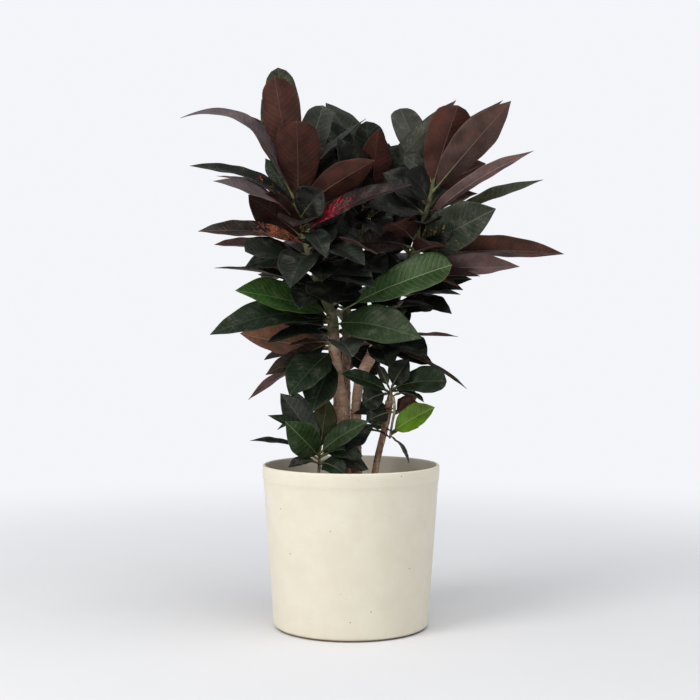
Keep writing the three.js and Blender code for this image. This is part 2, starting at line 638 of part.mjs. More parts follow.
// The pot: a dark inset foot, a tapered wall with a slightly raised band below the rim, and a rounded lip.
function potSolid() {
  const band = POT_HEIGHT - BAND_HEIGHT;
  const shoulder = POT_HEIGHT - LIP;
  const profile = [
    [0, 0],
    [POT_FOOT_RADIUS - FOOT_INSET, 0],
    [POT_FOOT_RADIUS - FOOT_INSET, FOOT_HEIGHT],
    [outerRadius(HEEL_HEIGHT), HEEL_HEIGHT],
    [outerRadius(band - BAND_STEP), band - BAND_STEP],
    [outerRadius(band) + BAND_RISE, band],
    [outerRadius(shoulder) + BAND_RISE, shoulder],
    [POT_TOP_RADIUS - LIP_EDGE_IN, POT_HEIGHT - LIP_EDGE_DOWN],
    [POT_TOP_RADIUS - WALL / 2, POT_HEIGHT],
    [POT_TOP_RADIUS - WALL + LIP_EDGE_IN, POT_HEIGHT - LIP_EDGE_DOWN],
    [innerRadius(shoulder), shoulder],
    [innerRadius(CORNER_TOP), CORNER_TOP],
    [innerRadius(FLOOR) - CORNER_INSET, FLOOR],
    [0, FLOOR],
  ];
  return turned(profile, POT_SIDES);
}

// The soil fills the pot up to a slightly domed top, with a plain hole for each stem that stands in it.
function soilSolid() {
  const bottom = FLOOR + GAP;
  const profile = [
    [0, bottom],
    [innerRadius(FLOOR) - CORNER_INSET - GAP, bottom],
    [innerRadius(CORNER_TOP) - 2 * GAP, CORNER_TOP],
    [innerRadius(SOIL_TOP) - 2 * GAP, SOIL_TOP - SOIL_SWELL],
    [POT_FOOT_RADIUS / 2, SOIL_TOP - SOIL_SHOULDER],
    [0, SOIL_TOP],
  ];
  let soil = turned(profile, SOIL_SIDES);
  for (const name of PLANTED) {
    const [x, y, z, radius] = STEMS[name][0];
    const rings = [z - GAP, SOIL_TOP + SOIL_SWELL].map((level) =>
      ringAt(x, y, level, (radius + GAP) * HOLE_SPREAD, HOLE_SIDES),
    );
    soil = soil.subtract(loft(rings, HOLE_SIDES));
  }
  return soil;
}

function geometryOf(solid) {
  const mesh = solid.getMesh();
  const geometry = new THREE.BufferGeometry();
  geometry.setAttribute("position", new THREE.BufferAttribute(new Float32Array(mesh.vertProperties), 3));
  geometry.setIndex(new THREE.BufferAttribute(new Uint32Array(mesh.triVerts), 1));
  geometry.computeVertexNormals();
  return geometry;
}

const GLAZE = new THREE.MeshStandardMaterial({ color: 0xe6dfcc, roughness: 0.5, metalness: 0 });
const EARTH = new THREE.MeshStandardMaterial({ color: 0x33261d, roughness: 0.95, metalness: 0 });
const BARK = new THREE.MeshStandardMaterial({ color: 0x8d7460, roughness: 0.85, metalness: 0 });
const SIDE_BARK = new THREE.MeshStandardMaterial({ color: 0x7d5743, roughness: 0.8, metalness: 0 });
const DARK_LEAF = new THREE.MeshStandardMaterial({ color: 0x262a20, roughness: 0.4, metalness: 0 });
const RED_LEAF = new THREE.MeshStandardMaterial({ color: 0x43242a, roughness: 0.4, metalness: 0 });
const GREEN_LEAF = new THREE.MeshStandardMaterial({ color: 0x3c5a34, roughness: 0.4, metalness: 0 });

const croton = new THREE.Group();

function add(name, solid, material) {
  const mesh = new THREE.Mesh(geometryOf(solid), material);
  mesh.name = name;
  croton.add(mesh);
}

const placed = [];
const pot = potSolid();
const soil = soilSolid();
place(placed, "pot", pot);
place(placed, "soil", soil);
const stems = {};
for (const [name, line] of Object.entries(STEMS)) {
  stems[name] = stemSolid(line);
  place(placed, name, stems[name]);
}
place(placed, "side_shoot", stemSolid(CALLUS));
growLeaves(placed);

add("pot", pot, GLAZE);
add("soil", soil, EARTH);
for (const name of ["trunk_left", "trunk_right", "trunk_back"]) {
  add(name, stems[name], BARK);
}
add("side_stem", stems.side_stem, SIDE_BARK);

const LEAFY = {
  crown_left: RED_LEAF,
  crown_right: RED_LEAF,
  crown_back: DARK_LEAF,
  side_shoot: GREEN_LEAF,
  low_shoot: DARK_LEAF,
};
for (const [name, material] of Object.entries(LEAFY)) {
  const pieces = placed.filter((one) => one.stem === name).map((one) => one.solid);
  add(name, wasm.Manifold.union(pieces), material);
}

export default croton;
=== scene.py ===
"""A potted croton on a pale floor. Places are in millimetres, and MM turns them into metres. +Z is up and
the front faces -Y. The stems, the leaf rows and the formulas of a leaf's place are those of the solids."""
import math

import bmesh
import bpy
import numpy as np
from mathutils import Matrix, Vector, kdtree


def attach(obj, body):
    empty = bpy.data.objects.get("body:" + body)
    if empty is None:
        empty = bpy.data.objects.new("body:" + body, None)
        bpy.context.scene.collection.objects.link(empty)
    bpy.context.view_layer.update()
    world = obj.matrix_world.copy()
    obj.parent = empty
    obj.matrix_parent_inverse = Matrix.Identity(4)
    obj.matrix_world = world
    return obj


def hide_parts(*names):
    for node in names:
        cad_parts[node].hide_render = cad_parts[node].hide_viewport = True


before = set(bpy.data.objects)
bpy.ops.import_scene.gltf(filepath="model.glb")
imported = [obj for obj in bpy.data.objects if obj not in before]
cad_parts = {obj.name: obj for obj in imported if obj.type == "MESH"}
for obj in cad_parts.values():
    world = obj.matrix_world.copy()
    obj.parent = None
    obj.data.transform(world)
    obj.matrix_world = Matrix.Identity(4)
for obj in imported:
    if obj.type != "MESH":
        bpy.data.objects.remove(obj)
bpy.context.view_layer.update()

MM = 0.001
CIRCLE = 2 * math.pi

# The stems that carry leaves.
LEFT, RIGHT, BACK = "crown_left", "crown_right", "crown_back"
LOW, SIDE = "low_shoot", "side_shoot"
LEAFY = {LEFT: "foliage", RIGHT: "foliage", BACK: "foliage", LOW: "young_foliage", SIDE: "young_foliage"}

# The pot and the soil, as in the solids.
POT_HEIGHT = 255
POT_TOP_RADIUS = 140
POT_FOOT_RADIUS = 122
WALL = 5
FLOOR = 9
FOOT_INSET = 3
FOOT_HEIGHT = 2.4
BAND_HEIGHT = 22
BAND_RISE = 0.9
BAND_STEP = 3
LIP = 4
LIP_ROUND = 2.2
CORNER_TOP = FLOOR + 8
CORNER_INSET = 6
SOIL_TOP = 215
SOIL_SWELL = 4
ROOT_DEPTH = 45
GAP = 0.3

# Leaves, as in the solids.
BLADE = 1.1
FOLD = 0.28
WAVE = 2.2
WAVED_WIDTH = 50
WAVE_OF_LEAF = 1.7
WAVE_OF_BLADE = 9.4
WAVE_OF_EDGE = 2.2
LEAST_HALF = 0.7
PETIOLE = 14
YOUNG_PETIOLE = 10
MOST_BARE = 0.4
SLIM = 67
SLIGHT_WIDTH = 41
LEAN = -0.25
FORMS = {
    "POINTED": [(0, 0.05), (0.16, 0.56), (0.4, 0.97), (0.66, 0.9), (0.87, 0.44), (1, 0.01)],
    "BLUNT": [(0, 0.05), (0.16, 0.44), (0.4, 0.84), (0.66, 1), (0.87, 0.84), (0.97, 0.42), (1, 0.02)],
    "PLAIN": [(0, 0.05), (0.22, 0.7), (0.55, 1), (0.84, 0.52), (1, 0.01)],
    "SLIGHT": [(0, 0.05), (0.3, 0.88), (0.72, 0.78), (1, 0.01)],
}

# Where the photograph was taken from: height, distance to the pot's axis, and the view in its own pixels.
EYE_HEIGHT = 485
EYE_DISTANCE = 2143
FOCAL_PX = 1350
FRAME_PX = 700
HORIZON_PX = 319
AXIS_PX = 351
SENSOR_WIDTH = 36

# Stem lines: centre x, y, z and radius at each bend, from the lowest.
STEMS = {
    "trunk_left": [
        (-14, -5, SOIL_TOP - ROOT_DEPTH, 14.5), (-14, -5, 224, 14.5), (-15, -5, 270, 14.2),
        (-16, -4, 325, 13.4), (-16.5, -4, 357, 12), (-22, -4, 388, 11), (-24, -4, 402, 10.6),
    ],
    LEFT: [
        (-24, -4, 402 + GAP, 10.5), (-26, -4, 430, 9.9), (-29, -4, 484, 9), (-44, -2, 525, 8.4),
        (-57, 0, 563, 7.8), (-70, 2, 600, 6.4), (-81, 4, 634, 5), (-86, 5, 661, 4.2),
        (-91, 6, 702, 2.8),
    ],
    "trunk_right": [
        (9, 10, SOIL_TOP - ROOT_DEPTH, 9.5), (9, 10, 224, 9.5), (8, 8, 270, 9), (8, 5, 325, 8.7),
        (9, 3, 357, 8.2), (15, 2, 390, 9), (27, 0, 417, 10.8), (33, 0, 430, 9.5),
    ],
    RIGHT: [
        (33, 0, 430 + GAP, 9.4), (56, 0, 484, 8.6), (70, 0, 515, 8), (94, 2, 579, 6.2),
        (113, 4, 634, 4.8), (129, 5, 690, 3.7), (132, 5, 708, 2.8),
    ],
    "trunk_back": [
        (-8, 34, SOIL_TOP - ROOT_DEPTH, 8.5), (-8, 34, 224, 8.5), (-8, 30, 300, 8), (-8, 28, 360, 7.5),
        (-8, 28, 425, 7),
    ],
    BACK: [
        (-8, 28, 425 + GAP, 6.9), (-7, 36, 500, 6.8), (2, 46, 560, 6.3), (14, 54, 610, 5.8),
        (28, 62, 660, 5.2), (36, 68, 700, 4.6), (38, 71, 722, 3),
    ],
    "side_stem": [
        (33, -22, SOIL_TOP - ROOT_DEPTH, 5.5), (33, -22, 224, 5.5), (37, -23, 242, 5.5), (44, -24, 277, 5.6),
        (52, -25, 309, 5.8), (58, -25, 341, 6.3), (60, -25, 357, 6.3),
    ],
    SIDE: [
        (60.5, -32, 298, 1.6), (64, -34, 320, 2), (68, -35, 345, 2.2), (66, -33, 362, 2.6),
        (62, -27, 368, 3), (62, -26, 376, 2),
    ],
    LOW: [
        (-51, -35, SOIL_TOP - ROOT_DEPTH / 2, 2.6), (-51, -35, 224, 2.6), (-50, -35, 250, 2.5),
        (-49, -35, 280, 2),
    ],
}
CALLUS = [(60, -25.4, 357 + GAP, 4.6), (61, -26, 363, 4.2), (62, -26.6, 370, 3)]

# How the stems look: colours from below up, step between leaf scars and relief; for some also the number of
# sides, and whether the top is cut.
# SHADED_TAN is a darker copy of the tan bark: painted shade on the back trunk and the lower part of its
# stem, which stand behind the other two.
TAN, SHADED_TAN, GREEN = "c39a7e", "82624e", "555a38"
STEM_LOOKS = {
    "trunk_left": ([TAN], 17, 0.7),
    "trunk_right": ([TAN], 17, 0.7),
    "trunk_back": ([SHADED_TAN], 17, 0.7),
    "side_stem": (["a0765c"], 15, 0.4, 28, True),
    LEFT: ([TAN, GREEN], 9, 0.45),
    RIGHT: ([TAN, GREEN], 9, 0.45),
    BACK: ([SHADED_TAN, GREEN], 9, 0.45),
    LOW: (["4a2b26"], 8, 0.15, 16),
    SIDE: (["6f6a45"], 8, 0.15, 16),
}
CALLUS_LOOK = (["7a5a40"], 4, 0.3, 18)
CUT_COLOUR = "8a7259"
BARK_TO_GREEN = (425, 480)
BARK_CORE = 0.97
# Each leaf scar lies this much further round the stem than the one below it.
SCAR_TURN = 2.4
SCAR_SIZE = 1.6
SCAR_RISE = 1.4
SCAR_DARKNESS = 0.45

# Leaves: stem, height of the root on it, tip x, depth y, z as seen from the front, width, rise of the arch,
# the way the upper side faces, and its colouring.
LEAVES = [
    # the nearest leaves of the middle
    (LEFT, 488, 160, -85, 571, 68, 12, (-0.25, -0.85, 0.5), "split", {"petiole": 52, "form": "BLUNT"}),
    (LEFT, 474, 112, -95, 454, 70, 22, (0.1, -0.9, 0.4), "green", {"petiole": 20}),
    (LEFT, 478, -224, -70, 460, 66, 32, (-0.1, -0.75, 0.65), "forest"),
    (LEFT, 494, -184, -75, 530, 74, 6, (0, -0.75, 0.65), "bright"),
    (LEFT, 446, 3, -118, 425, 58, 10, (0.1, -0.5, 0.85), "grey", {"petiole": 4}),
    (LEFT, 456, -133, -90, 447, 42, 12, (0, -0.4, 0.9), "dark"),
    # the left head
    (LEFT, 652, -86, -70, 799, 74, 12, (0.05, 0.95, 0.3), "burgundy", {"form": "BLUNT", "petiole": 8}),
    (LEFT, 680, -121, -40, 870, 64, -4, (0.2, 0.95, 0.1), "burgundy", {"petiole": 20, "form": "BLUNT"}),
    (LEFT, 698, -116, 60, 884, 58, -10, (0.1, -0.95, 0.3), "olive", {"form": "BLUNT"}),
    (LEFT, 672, -271, -20, 804, 56, 54, (0.4, -0.45, 0.8), "plum", {"lean": 0.45}),
    (LEFT, 684, -171, 40, 810, 50, 22, (0.3, 0.8, 0.5), "burgundy"),
    (LEFT, 680, -142, 55, 834, 44, -8, (-0.4, -0.7, 0.5), "olive"),
    (LEFT, 662, -118, 45, 748, 46, 4, (0.1, -0.9, 0.3), "green"),
    (LEFT, 656, -256, -35, 728, 46, 22, (0.2, -0.45, 0.85), "spot"),
    (LEFT, 634, -219, -85, 704, 50, 16, (0.2, -0.5, 0.8), "bloom", {"petiole": 8}),
    (LEFT, 660, -213, 30, 712, 44, 12, (0.2, -0.2, 1), "mauve"),
    (LEFT, 612, -163, -45, 682, 66, 4, (0.1, 0.9, 0.35), "ink", {"petiole": 6}),
    (LEFT, 602, -243, -60, 624, 52, 13, (0.05, -0.6, 0.8), "orange", {"petiole": 8}),
    (LEFT, 586, -217, 15, 603, 50, 6, (0, 0.4, 1), "mauve"),
    (LEFT, 566, -168, -100, 592, 74, 8, (-0.1, -0.7, 0.7), "dark", {"petiole": 6, "form": "BLUNT"}),
    (LEFT, 570, -97, -135, 534, 70, 28, (-0.1, -0.65, 0.75), "dark"),
    (LEFT, 594, 22, -120, 570, 66, 20, (0.1, -0.65, 0.75), "dark"),
    (LEFT, 612, -40, -150, 582, 44, 20, (0, -0.35, 1), "dark"),
    (LEFT, 520, -217, -15, 566, 42, 14, (0.2, -0.2, 1), "olive"),
    (LEFT, 536, -148, 35, 556, 54, 4, (0, -0.4, 1), "mauve"),
    (LEFT, 486, -95, -60, 496, 40, 4, (0, -0.7, 0.6), "dark"),
    (LEFT, 440, -176, 30, 462, 64, -6, (0, 0.8, 0.5), "tanrose"),
    (LEFT, 448, -98, -50, 443, 36, 4, (0, 0.05, 1), "ink"),
    (LEFT, 438, -138, 5, 420, 54, 4, (0, 0.35, 1), "dark"),
    (LEFT, 426, -112, -20, 408, 38, 2, (-0.1, -0.6, 0.75), "olive"),
    (LEFT, 424, -163, 20, 357, 32, 14, (-0.3, 0.5, 0.8), "silver"),
    (LEFT, 436, -98, -50, 364, 72, 8, (-0.3, -0.8, 0.4), "forest"),
    (LEFT, 426, -62, -44, 337, 60, 6, (-0.2, -0.85, 0.3), "forest"),
    # the leaves between the heads
    (LEFT, 690, -44, 75, 824, 52, -6, (0, -0.9, 0.4), "grey", {"form": "BLUNT"}),
    (BACK, 706, -40, 95, 828, 60, 12, (0.2, -0.9, 0.4), "dark", {"form": "POINTED"}),
    (LEFT, 680, 24, 35, 803, 40, 10, (-0.5, -0.3, 0.8), "grey"),
    (BACK, 690, 24, 15, 799, 56, 8, (0.1, -0.9, 0.4), "dark", {"form": "BLUNT"}),
    (BACK, 668, 43, -34, 786, 54, 8, (0.2, 0.9, 0.3), "burgundy", {"petiole": 6}),
    (LEFT, 672, -28, 40, 756, 66, 8, (0.2, -0.7, 0.6), "ink"),
    (LEFT, 655, 38, -60, 737, 56, 12, (0.2, 0.7, 0.6), "burgundy"),
    (LEFT, 616, 96, -100, 698, 56, 16, (-0.2, -0.6, 0.75), "crimson"),
    (LEFT, 604, -24, -88, 616, 66, 8, (0.1, -0.75, 0.6), "dark"),
    (LEFT, 626, -92, -110, 632, 66, 12, (0, -0.85, 0.5), "maroon"),
    (LEFT, 560, -46, -120, 545, 66, 16, (0.1, -0.6, 0.8), "dark"),
    (LEFT, 524, -82, -95, 500, 64, 12, (-0.1, -0.6, 0.75), "dark"),
    (RIGHT, 618, 118, -100, 636, 64, 10, (0, -0.6, 0.7), "ink"),
    (RIGHT, 498, 60, -62, 478, 56, 10, (0, -0.6, 0.7), "dark"),
    (RIGHT, 668, 86, -50, 718, 66, 8, (0.2, -0.8, 0.5), "ink"),
    (RIGHT, 650, 24, -62, 664, 66, 8, (0, -0.75, 0.6), "ink"),
    (BACK, 684, 100, 46, 762, 66, 8, (-0.3, -0.85, 0.4), "dark"),
    (BACK, 640, 46, -40, 616, 62, 14, (0.2, -0.8, 0.55), "ink"),
    (RIGHT, 596, 10, -30, 606, 62, 10, (0, -0.75, 0.6), "maroon"),
    (BACK, 600, -44, -30, 646, 64, 12, (0, -0.85, 0.5), "dark"),
    (BACK, 566, 56, -60, 556, 64, 12, (0, -0.7, 0.7), "dark"),
    (LEFT, 542, 36, -90, 534, 66, 12, (0.2, -0.6, 0.75), "dark"),
    (LEFT, 606, 42, -110, 588, 40, 10, (0.1, 0.3, 0.95), "rosy"),
    (LEFT, 640, -44, -30, 690, 66, 8, (0.2, -0.85, 0.5), "ink"),
    (LEFT, 598, -34, -100, 604, 66, 10, (0, -0.6, 0.8), "ink"),
    (LEFT, 556, 34, -85, 552, 64, 10, (0, -0.6, 0.8), "dark"),
    (LEFT, 532, -118, -20, 514, 62, 6, (0, -0.8, 0.6), "dark"),
    (LEFT, 506, 26, 12, 510, 62, 8, (0, -0.7, 0.6), "dark"),
    (LEFT, 546, -30, -100, 508, 66, 8, (0, -0.7, 0.6), "ink"),
    (LEFT, 656, -38, 60, 786, 66, 4, (0.1, -0.8, 0.5), "dark"),
    (BACK, 660, -22, 20, 772, 66, 8, (0, -0.8, 0.5), "ink"),
    (BACK, 676, 60, 30, 764, 66, 8, (0.1, -0.9, 0.4), "dark"),
    (BACK, 640, -50, 0, 706, 66, 8, (0, -0.7, 0.6), "dark"),
    (BACK, 620, 40, -30, 668, 66, 8, (0, -0.7, 0.6), "ink"),
    (BACK, 560, -10, -40, 560, 64, 8, (0, -0.6, 0.8), "dark"),
    (BACK, 440, 46, 8, 408, 50, 6, (0, -0.8, 0.5), "dark"),
    (RIGHT, 470, 8, -52, 474, 60, 8, (0, -0.6, 0.8), "dark"),
    (RIGHT, 520, 36, -78, 504, 66, 8, (0, -0.6, 0.8), "dark"),
    (RIGHT, 560, 70, -72, 580, 66, 8, (0, -0.6, 0.8), "ink"),
    (RIGHT, 600, 172, -60, 640, 66, 8, (-0.1, -0.85, 0.5), "ink"),
    (RIGHT, 664, 50, -10, 716, 66, 8, (0.2, -0.7, 0.6), "ink"),
    (RIGHT, 478, 92, -72, 478, 56, 8, (0, -0.6, 0.8), "dark"),
    (RIGHT, 456, 36, -66, 442, 54, 6, (0, -0.6, 0.8), "dark"),
    # the right head
    (RIGHT, 682, 170, -40, 824, 70, 10, (-0.1, 0.95, 0.3), "burgundy", {"form": "BLUNT", "petiole": 8}),
    (BACK, 690, 167, 20, 832, 42, 6, (-0.3, -0.8, 0.5), "sage"),
    (RIGHT, 692, 78, 85, 819, 54, 6, (0, -0.95, 0.3), "sage", {"form": "BLUNT"}),
    (RIGHT, 694, 241, 45, 832, 56, 14, (-0.5, -0.5, 0.6), "dark"),
    (RIGHT, 684, 254, 5, 831, 70, 2, (-0.3, 0.85, 0.4), "rosy", {"form": "PLAIN"}),
    (RIGHT, 632, 290, -45, 752, 38, 16, (-0.3, 0.6, 0.7), "silver"),
    (RIGHT, 612, 305, -15, 706, 48, 11, (-0.2, -0.45, 0.9), "olive"),
    (RIGHT, 650, 176, 45, 716, 58, 8, (-0.2, -0.8, 0.5), "sage"),
    (RIGHT, 636, 201, 10, 684, 56, 8, (-0.3, 0.3, 0.9), "brown"),
    (RIGHT, 588, 230, -75, 660, 82, 4, (-0.1, -0.95, 0.3), "streaked"),
    (RIGHT, 590, 150, -92, 602, 52, 4, (0, 0.6, 0.7), "burgundy"),
    (RIGHT, 580, 338, -60, 588, 66, 13, (0, 0.55, 0.83), "brown"),
    (RIGHT, 558, 268, -30, 568, 56, 5, (0, 0.6, 0.8), "silver"),
    (RIGHT, 548, 205, 15, 553, 44, 4, (0, 0.4, 1), "dark"),
    (RIGHT, 550, 170, -85, 536, 52, 8, (0, 0.4, 0.9), "brown"),
    (RIGHT, 534, 178, -40, 531, 48, 6, (0, -0.5, 0.85), "dark"),
    (RIGHT, 522, 174, 25, 524, 40, 4, (0, -0.4, 1), "dark"),
    (RIGHT, 512, 160, -30, 493, 52, 10, (0, -0.4, 0.9), "ink"),
    (RIGHT, 606, 64, -120, 636, 56, 8, (0, 0.75, 0.6), "burgundy"),
    (RIGHT, 456, 170, -10, 457, 36, 3, (0, 0.1, 1), "mauve"),
    (RIGHT, 452, 121, -50, 426, 62, 8, (0, -0.5, 0.85), "dark"),
    (RIGHT, 446, 62, -75, 408, 52, 8, (0, -0.7, 0.7), "dark"),
    (RIGHT, 440, 184, -15, 374, 32, 12, (0.2, 0.25, 0.95), "grey"),
    # the low shoot
    (LOW, 276, -112, -20, 367, 52, 8, (0.2, -0.8, 0.5), "grey"),
    (LOW, 276, -132, -45, 332, 34, 14, (0.1, -0.6, 0.8), "forest"),
    (LOW, 276, -117, 5, 309, 28, 28, (0, -0.1, 1), "dark"),
    (LOW, 270, -104, -85, 322, 54, 5, (-0.1, -0.9, 0.3), "split"),
    (LOW, 276, -38, -52, 360, 42, 5, (0.1, 0.9, 0.3), "moss"),
    (LOW, 274, 28, -85, 323, 42, 8, (-0.2, -0.8, 0.5), "green"),
    (LOW, 268, 18, -88, 268, 42, 24, (0.3, -0.7, 0.5), "forest"),
    (LOW, 264, -160, -55, 292, 28, 12, (0.2, -0.25, 0.95), "dark"),
    (LOW, 258, -100, -60, 249, 26, 10, (-0.4, -0.6, 0.6), "dark"),
    (LOW, 258, -8, -78, 238, 40, 10, (0.2, -0.8, 0.5), "forest"),
    (LOW, 262, 28, -55, 246, 36, 14, (0.2, -0.7, 0.6), "olive"),
    (LOW, 270, 38, -45, 318, 36, 2, (0.3, -0.8, 0.3), "dark"),
    # the side shoot
    (SIDE, 306, 133, -60, 345, 46, 5, (-0.2, -0.85, 0.5), "lime"),
    (SIDE, 302, 108, -15, 312, 26, 8, (0, -0.3, 0.9), "green"),
    (SIDE, 303, 92, -50, 256, 16, 5, (0.6, -0.3, 0.7), "sage"),
    (SIDE, 364, 116, -55, 353, 26, 10, (0, -0.2, 1), "olive"),
    (SIDE, 335, 108, -60, 351, 40, 3, (-0.3, 0.6, 0.6), "brown"),
    (SIDE, 373, 152, -50, 386, 50, 12, (-0.1, -0.8, 0.55), "forest", {"form": "BLUNT"}),
    (SIDE, 374, 92, -30, 421, 42, 4, (-0.2, -0.85, 0.4), "dark"),
    (SIDE, 369, -16, -58, 398, 36, 6, (0, -0.75, 0.65), "forest"),
    (SIDE, 368, 18, -42, 350, 48, 10, (0, -0.85, 0.5), "dark"),
    (SIDE, 340, 24, -60, 322, 40, 5, (-0.2, -0.8, 0.5), "dark"),
    (SIDE, 300, 24, -50, 308, 16, 4, (0, -0.3, 1), "dark"),
    (SIDE, 372, 43, -20, 412, 18, 2, (0, -0.9, 0.3), "sage"),
    # the last leaves of the middle
    (LEFT, 560, -22, -112, 584, 60, 8, (0, -0.85, 0.5), "maroon"),
    (RIGHT, 556, 42, -70, 560, 64, 8, (0, -0.85, 0.5), "ink"),
    (LEFT, 548, 18, -60, 534, 56, 8, (0, -0.85, 0.5), "ink"),
    (BACK, 650, 54, 0, 652, 60, 8, (0, -0.85, 0.5), "ink"),
]

# The rest of the leaves, small ones between and behind those of the solids, in the same terms. Most of them
# face forward.
FORWARD = (0, -0.85, 0.5)
SMALL_LEAVES = [
    (RIGHT, 650, 58, 30, 690, 44, 6, "ink"),
    (RIGHT, 600, 118, 40, 664, 44, 6, "ink"),
    (RIGHT, 700, 84, 20, 744, 38, 6, "dark"),
    (RIGHT, 590, 50, 10, 600, 44, 6, "maroon"),
    (RIGHT, 690, 214, 30, 732, 50, 6, "burgundy", {"face": (0, 0.85, 0.4)}),
    (RIGHT, 446, 130, 10, 414, 36, 6, "dark"),
    (RIGHT, 616, 52, 40, 640, 42, 6, "ink"),
    (BACK, 570, 62, 20, 590, 46, 6, "ink"),
    (BACK, 540, 68, 10, 558, 46, 6, "dark"),
    (BACK, 500, -72, 20, 514, 44, 6, "dark"),
    (BACK, 575, -72, 20, 580, 48, 6, "ink"),
    (BACK, 432, 42, 6, 396, 40, 6, "dark"),
    (BACK, 700, -50, 50, 764, 46, 6, "dark"),
    (BACK, 716, -58, 55, 808, 42, 6, "dark"),
    (LEFT, 470, -102, 20, 478, 40, 6, "dark"),
    (LEFT, 450, -78, 10, 424, 30, 4, "forest"),
    (LEFT, 620, -8, 10, 654, 46, 6, "maroon"),
    (LEFT, 588, -168, -20, 568, 44, 8, "dark", {"face": (0, -0.75, 0.6)}),
    (SIDE, 371, 98, 0, 370, 26, 4, "dark"),
    (SIDE, 310, 32, 0, 320, 24, 4, "forest"),
    (SIDE, 336, 106, -10, 362, 32, 4, "brown", {"face": (0, 0.8, 0.5)}),
    (LOW, 276, -94, 0, 374, 34, 4, "forest"),
    (RIGHT, 500, 136, 10, 506, 36, 6, "dark"),
    (RIGHT, 540, 192, 0, 548, 34, 6, "dark"),
    (BACK, 640, 60, 40, 664, 36, 6, "ink"),
    (LEFT, 622, -38, 30, 648, 36, 6, "maroon"),
    (LEFT, 658, -132, 30, 702, 34, 6, "ink"),
    (LEFT, 650, -136, 45, 740, 34, 6, "forest", {"face": (0.1, -0.9, 0.3)}),
    (LEFT, 450, -136, -10, 396, 34, 4, "brown"),
    (SIDE, 345, -2, 10, 340, 32, 4, "dark"),
    (LOW, 276, 28, 20, 300, 38, 4, "dark"),
    (LEFT, 640, -18, 20, 686, 40, 6, "maroon"),
    (LEFT, 604, -84, 20, 666, 36, 6, "maroon"),
    (LEFT, 628, -24, 30, 674, 40, 6, "ink"),
]
SMALL_SEED = 500

# Leaves by rule: stem, how many, lowest and highest root, seed of the first. A leaf that isn't clear of the
# rest moves in depth, turns or lifts by one of the steps.
FILL = [(BACK, 27, 440, 716, 200), (LEFT, 21, 440, 694, 300), (RIGHT, 24, 446, 700, 400)]
GOLDEN_SHARE = 0.618034
FILL_LENGTHS = (139, 190)
FILL_WIDTHS = (58, 76)
FILL_RISES = (10, 24)
FILL_TIPPING = (-0.25, 0.25)
FILL_ARC = 1.2 * math.pi
FILL_START = -0.3
FILL_DROOP = -0.25
FILL_CLIMB = 1.45
FILL_CLIMB_POWER = 1.6
DEPTH_STEPS = [0, -14, 14, -28, 28, -42, 42, -56, 56, 70, -70]
TURNS = [0, 0.3, -0.3, 0.6, -0.6]
LIFTS = [0, 0.22, -0.22, 0.44]

# Colourings: upper side, underside, the upper side's veins, and for some the blotches and their number.
COLOURINGS = {
    "bright": ("2c4d1e", "4c5a34", "6d8a4c"),
    "split": ("2b4422", "4c5a34", "86996a"),
    "green": ("26371f", "3f3f2a", "566a44"),
    "forest": ("1c2b1b", "38291f", "46593e"),
    "moss": ("1e2b1c", "34381f", "46593e"),
    "dark": ("191f18", "33211d", "36443a"),
    "ink": ("151714", "2a1a17", "2b302b", "7a2030", 0.12),
    "olive": ("2b2e1f", "433629", "565a3e"),
    "grey": ("363a34", "463a32", "64695f"),
    "sage": ("2f322a", "443730", "555a4e"),
    "burgundy": ("1f221d", "482d26", "3b423a", "8c2838", 0.1),
    "mauve": ("282523", "523a35", "4a4544"),
    "rosy": ("3a2f2c", "5c4741", "5a4a46", "a04050", 0.12),
    "tanrose": ("382c24", "6a4936", "5a4a40"),
    "maroon": ("231a18", "371d19", "463230", "7a2030", 0.1),
    "brown": ("30251f", "50342b", "5a4638", "9a4440", 0.15),
    "lime": ("4f7414", "6a8a38", "86a03c"),
    # The pale tones of silver, plum and bloom are partly the leaves' own mauve and partly painted sheen, for
    # leaves that catch glare.
    "silver": ("857a7e", "75605c", "a09698"),
    "plum": ("5c5053", "5a403c", "786c70"),
    "orange": ("2e2a28", "4a3029", "6a5a50", "b27254", 0.74),
    "crimson": ("231c1b", "4a2a28", "463a38", "a61e3c", 0.72),
    "bloom": ("5c5254", "4a2a26", "7a7072", "a0283a", 0.6),
    "spot": ("1c221c", "3a2622", "38423a", "cc6446", 0.42),
    "streaked": ("2c3329", "43352c", "5e6a54", "a3984e", 0.5),
}
FILL_COLOURINGS = ["ink", "forest", "ink", "burgundy", "dark", "maroon", "olive", "ink"]
LIGHTNESS = (0.66, 0.96)
STALK_COLOURS = ["7d8450", "6f7746", "8c7a52", "74603f", "868a58"]
YOUNG_STALK_COLOURS = ["44482c", "3c3828", "454128"]

# How close a leaf's points have to lie to the solid's, and what share of them.
MATCH_MM = 0.03
MATCH_SHARE = 0.5

# The fine surface of a leaf. Places across it are shares of its half width.
UPPER, UNDER, STALK = 0, 1, 2
ALONG = 30
ACROSS = np.array([-1, -0.88, -0.7, -0.48, -0.26, -0.08, 0, 0.08, 0.26, 0.48, 0.7, 0.88, 1])
LEAST_FINE_HALF = 0.25
HALF_THICKNESS = BLADE * 0.32
EDGE_THINNING = 0.6
# The depth of the soft folds between midrib and edge, as a share of the leaf's width.
BUCKLE = 0.022
BUCKLE_RATE = 15
RUFFLE = 0.7
RUFFLE_RATE = 31
CURL = 0.035
STALK_SIDES = 8
STALK_RINGS = 22
STALK_RADIUS = 1.45
RIB_RADIUS = 1.15
RIB_TAPER = 0.95
RIB_END = 0.86
SWELL_RADIUS = 1.3
SWELL_PLACE = 9
SWELL_LENGTH = 4


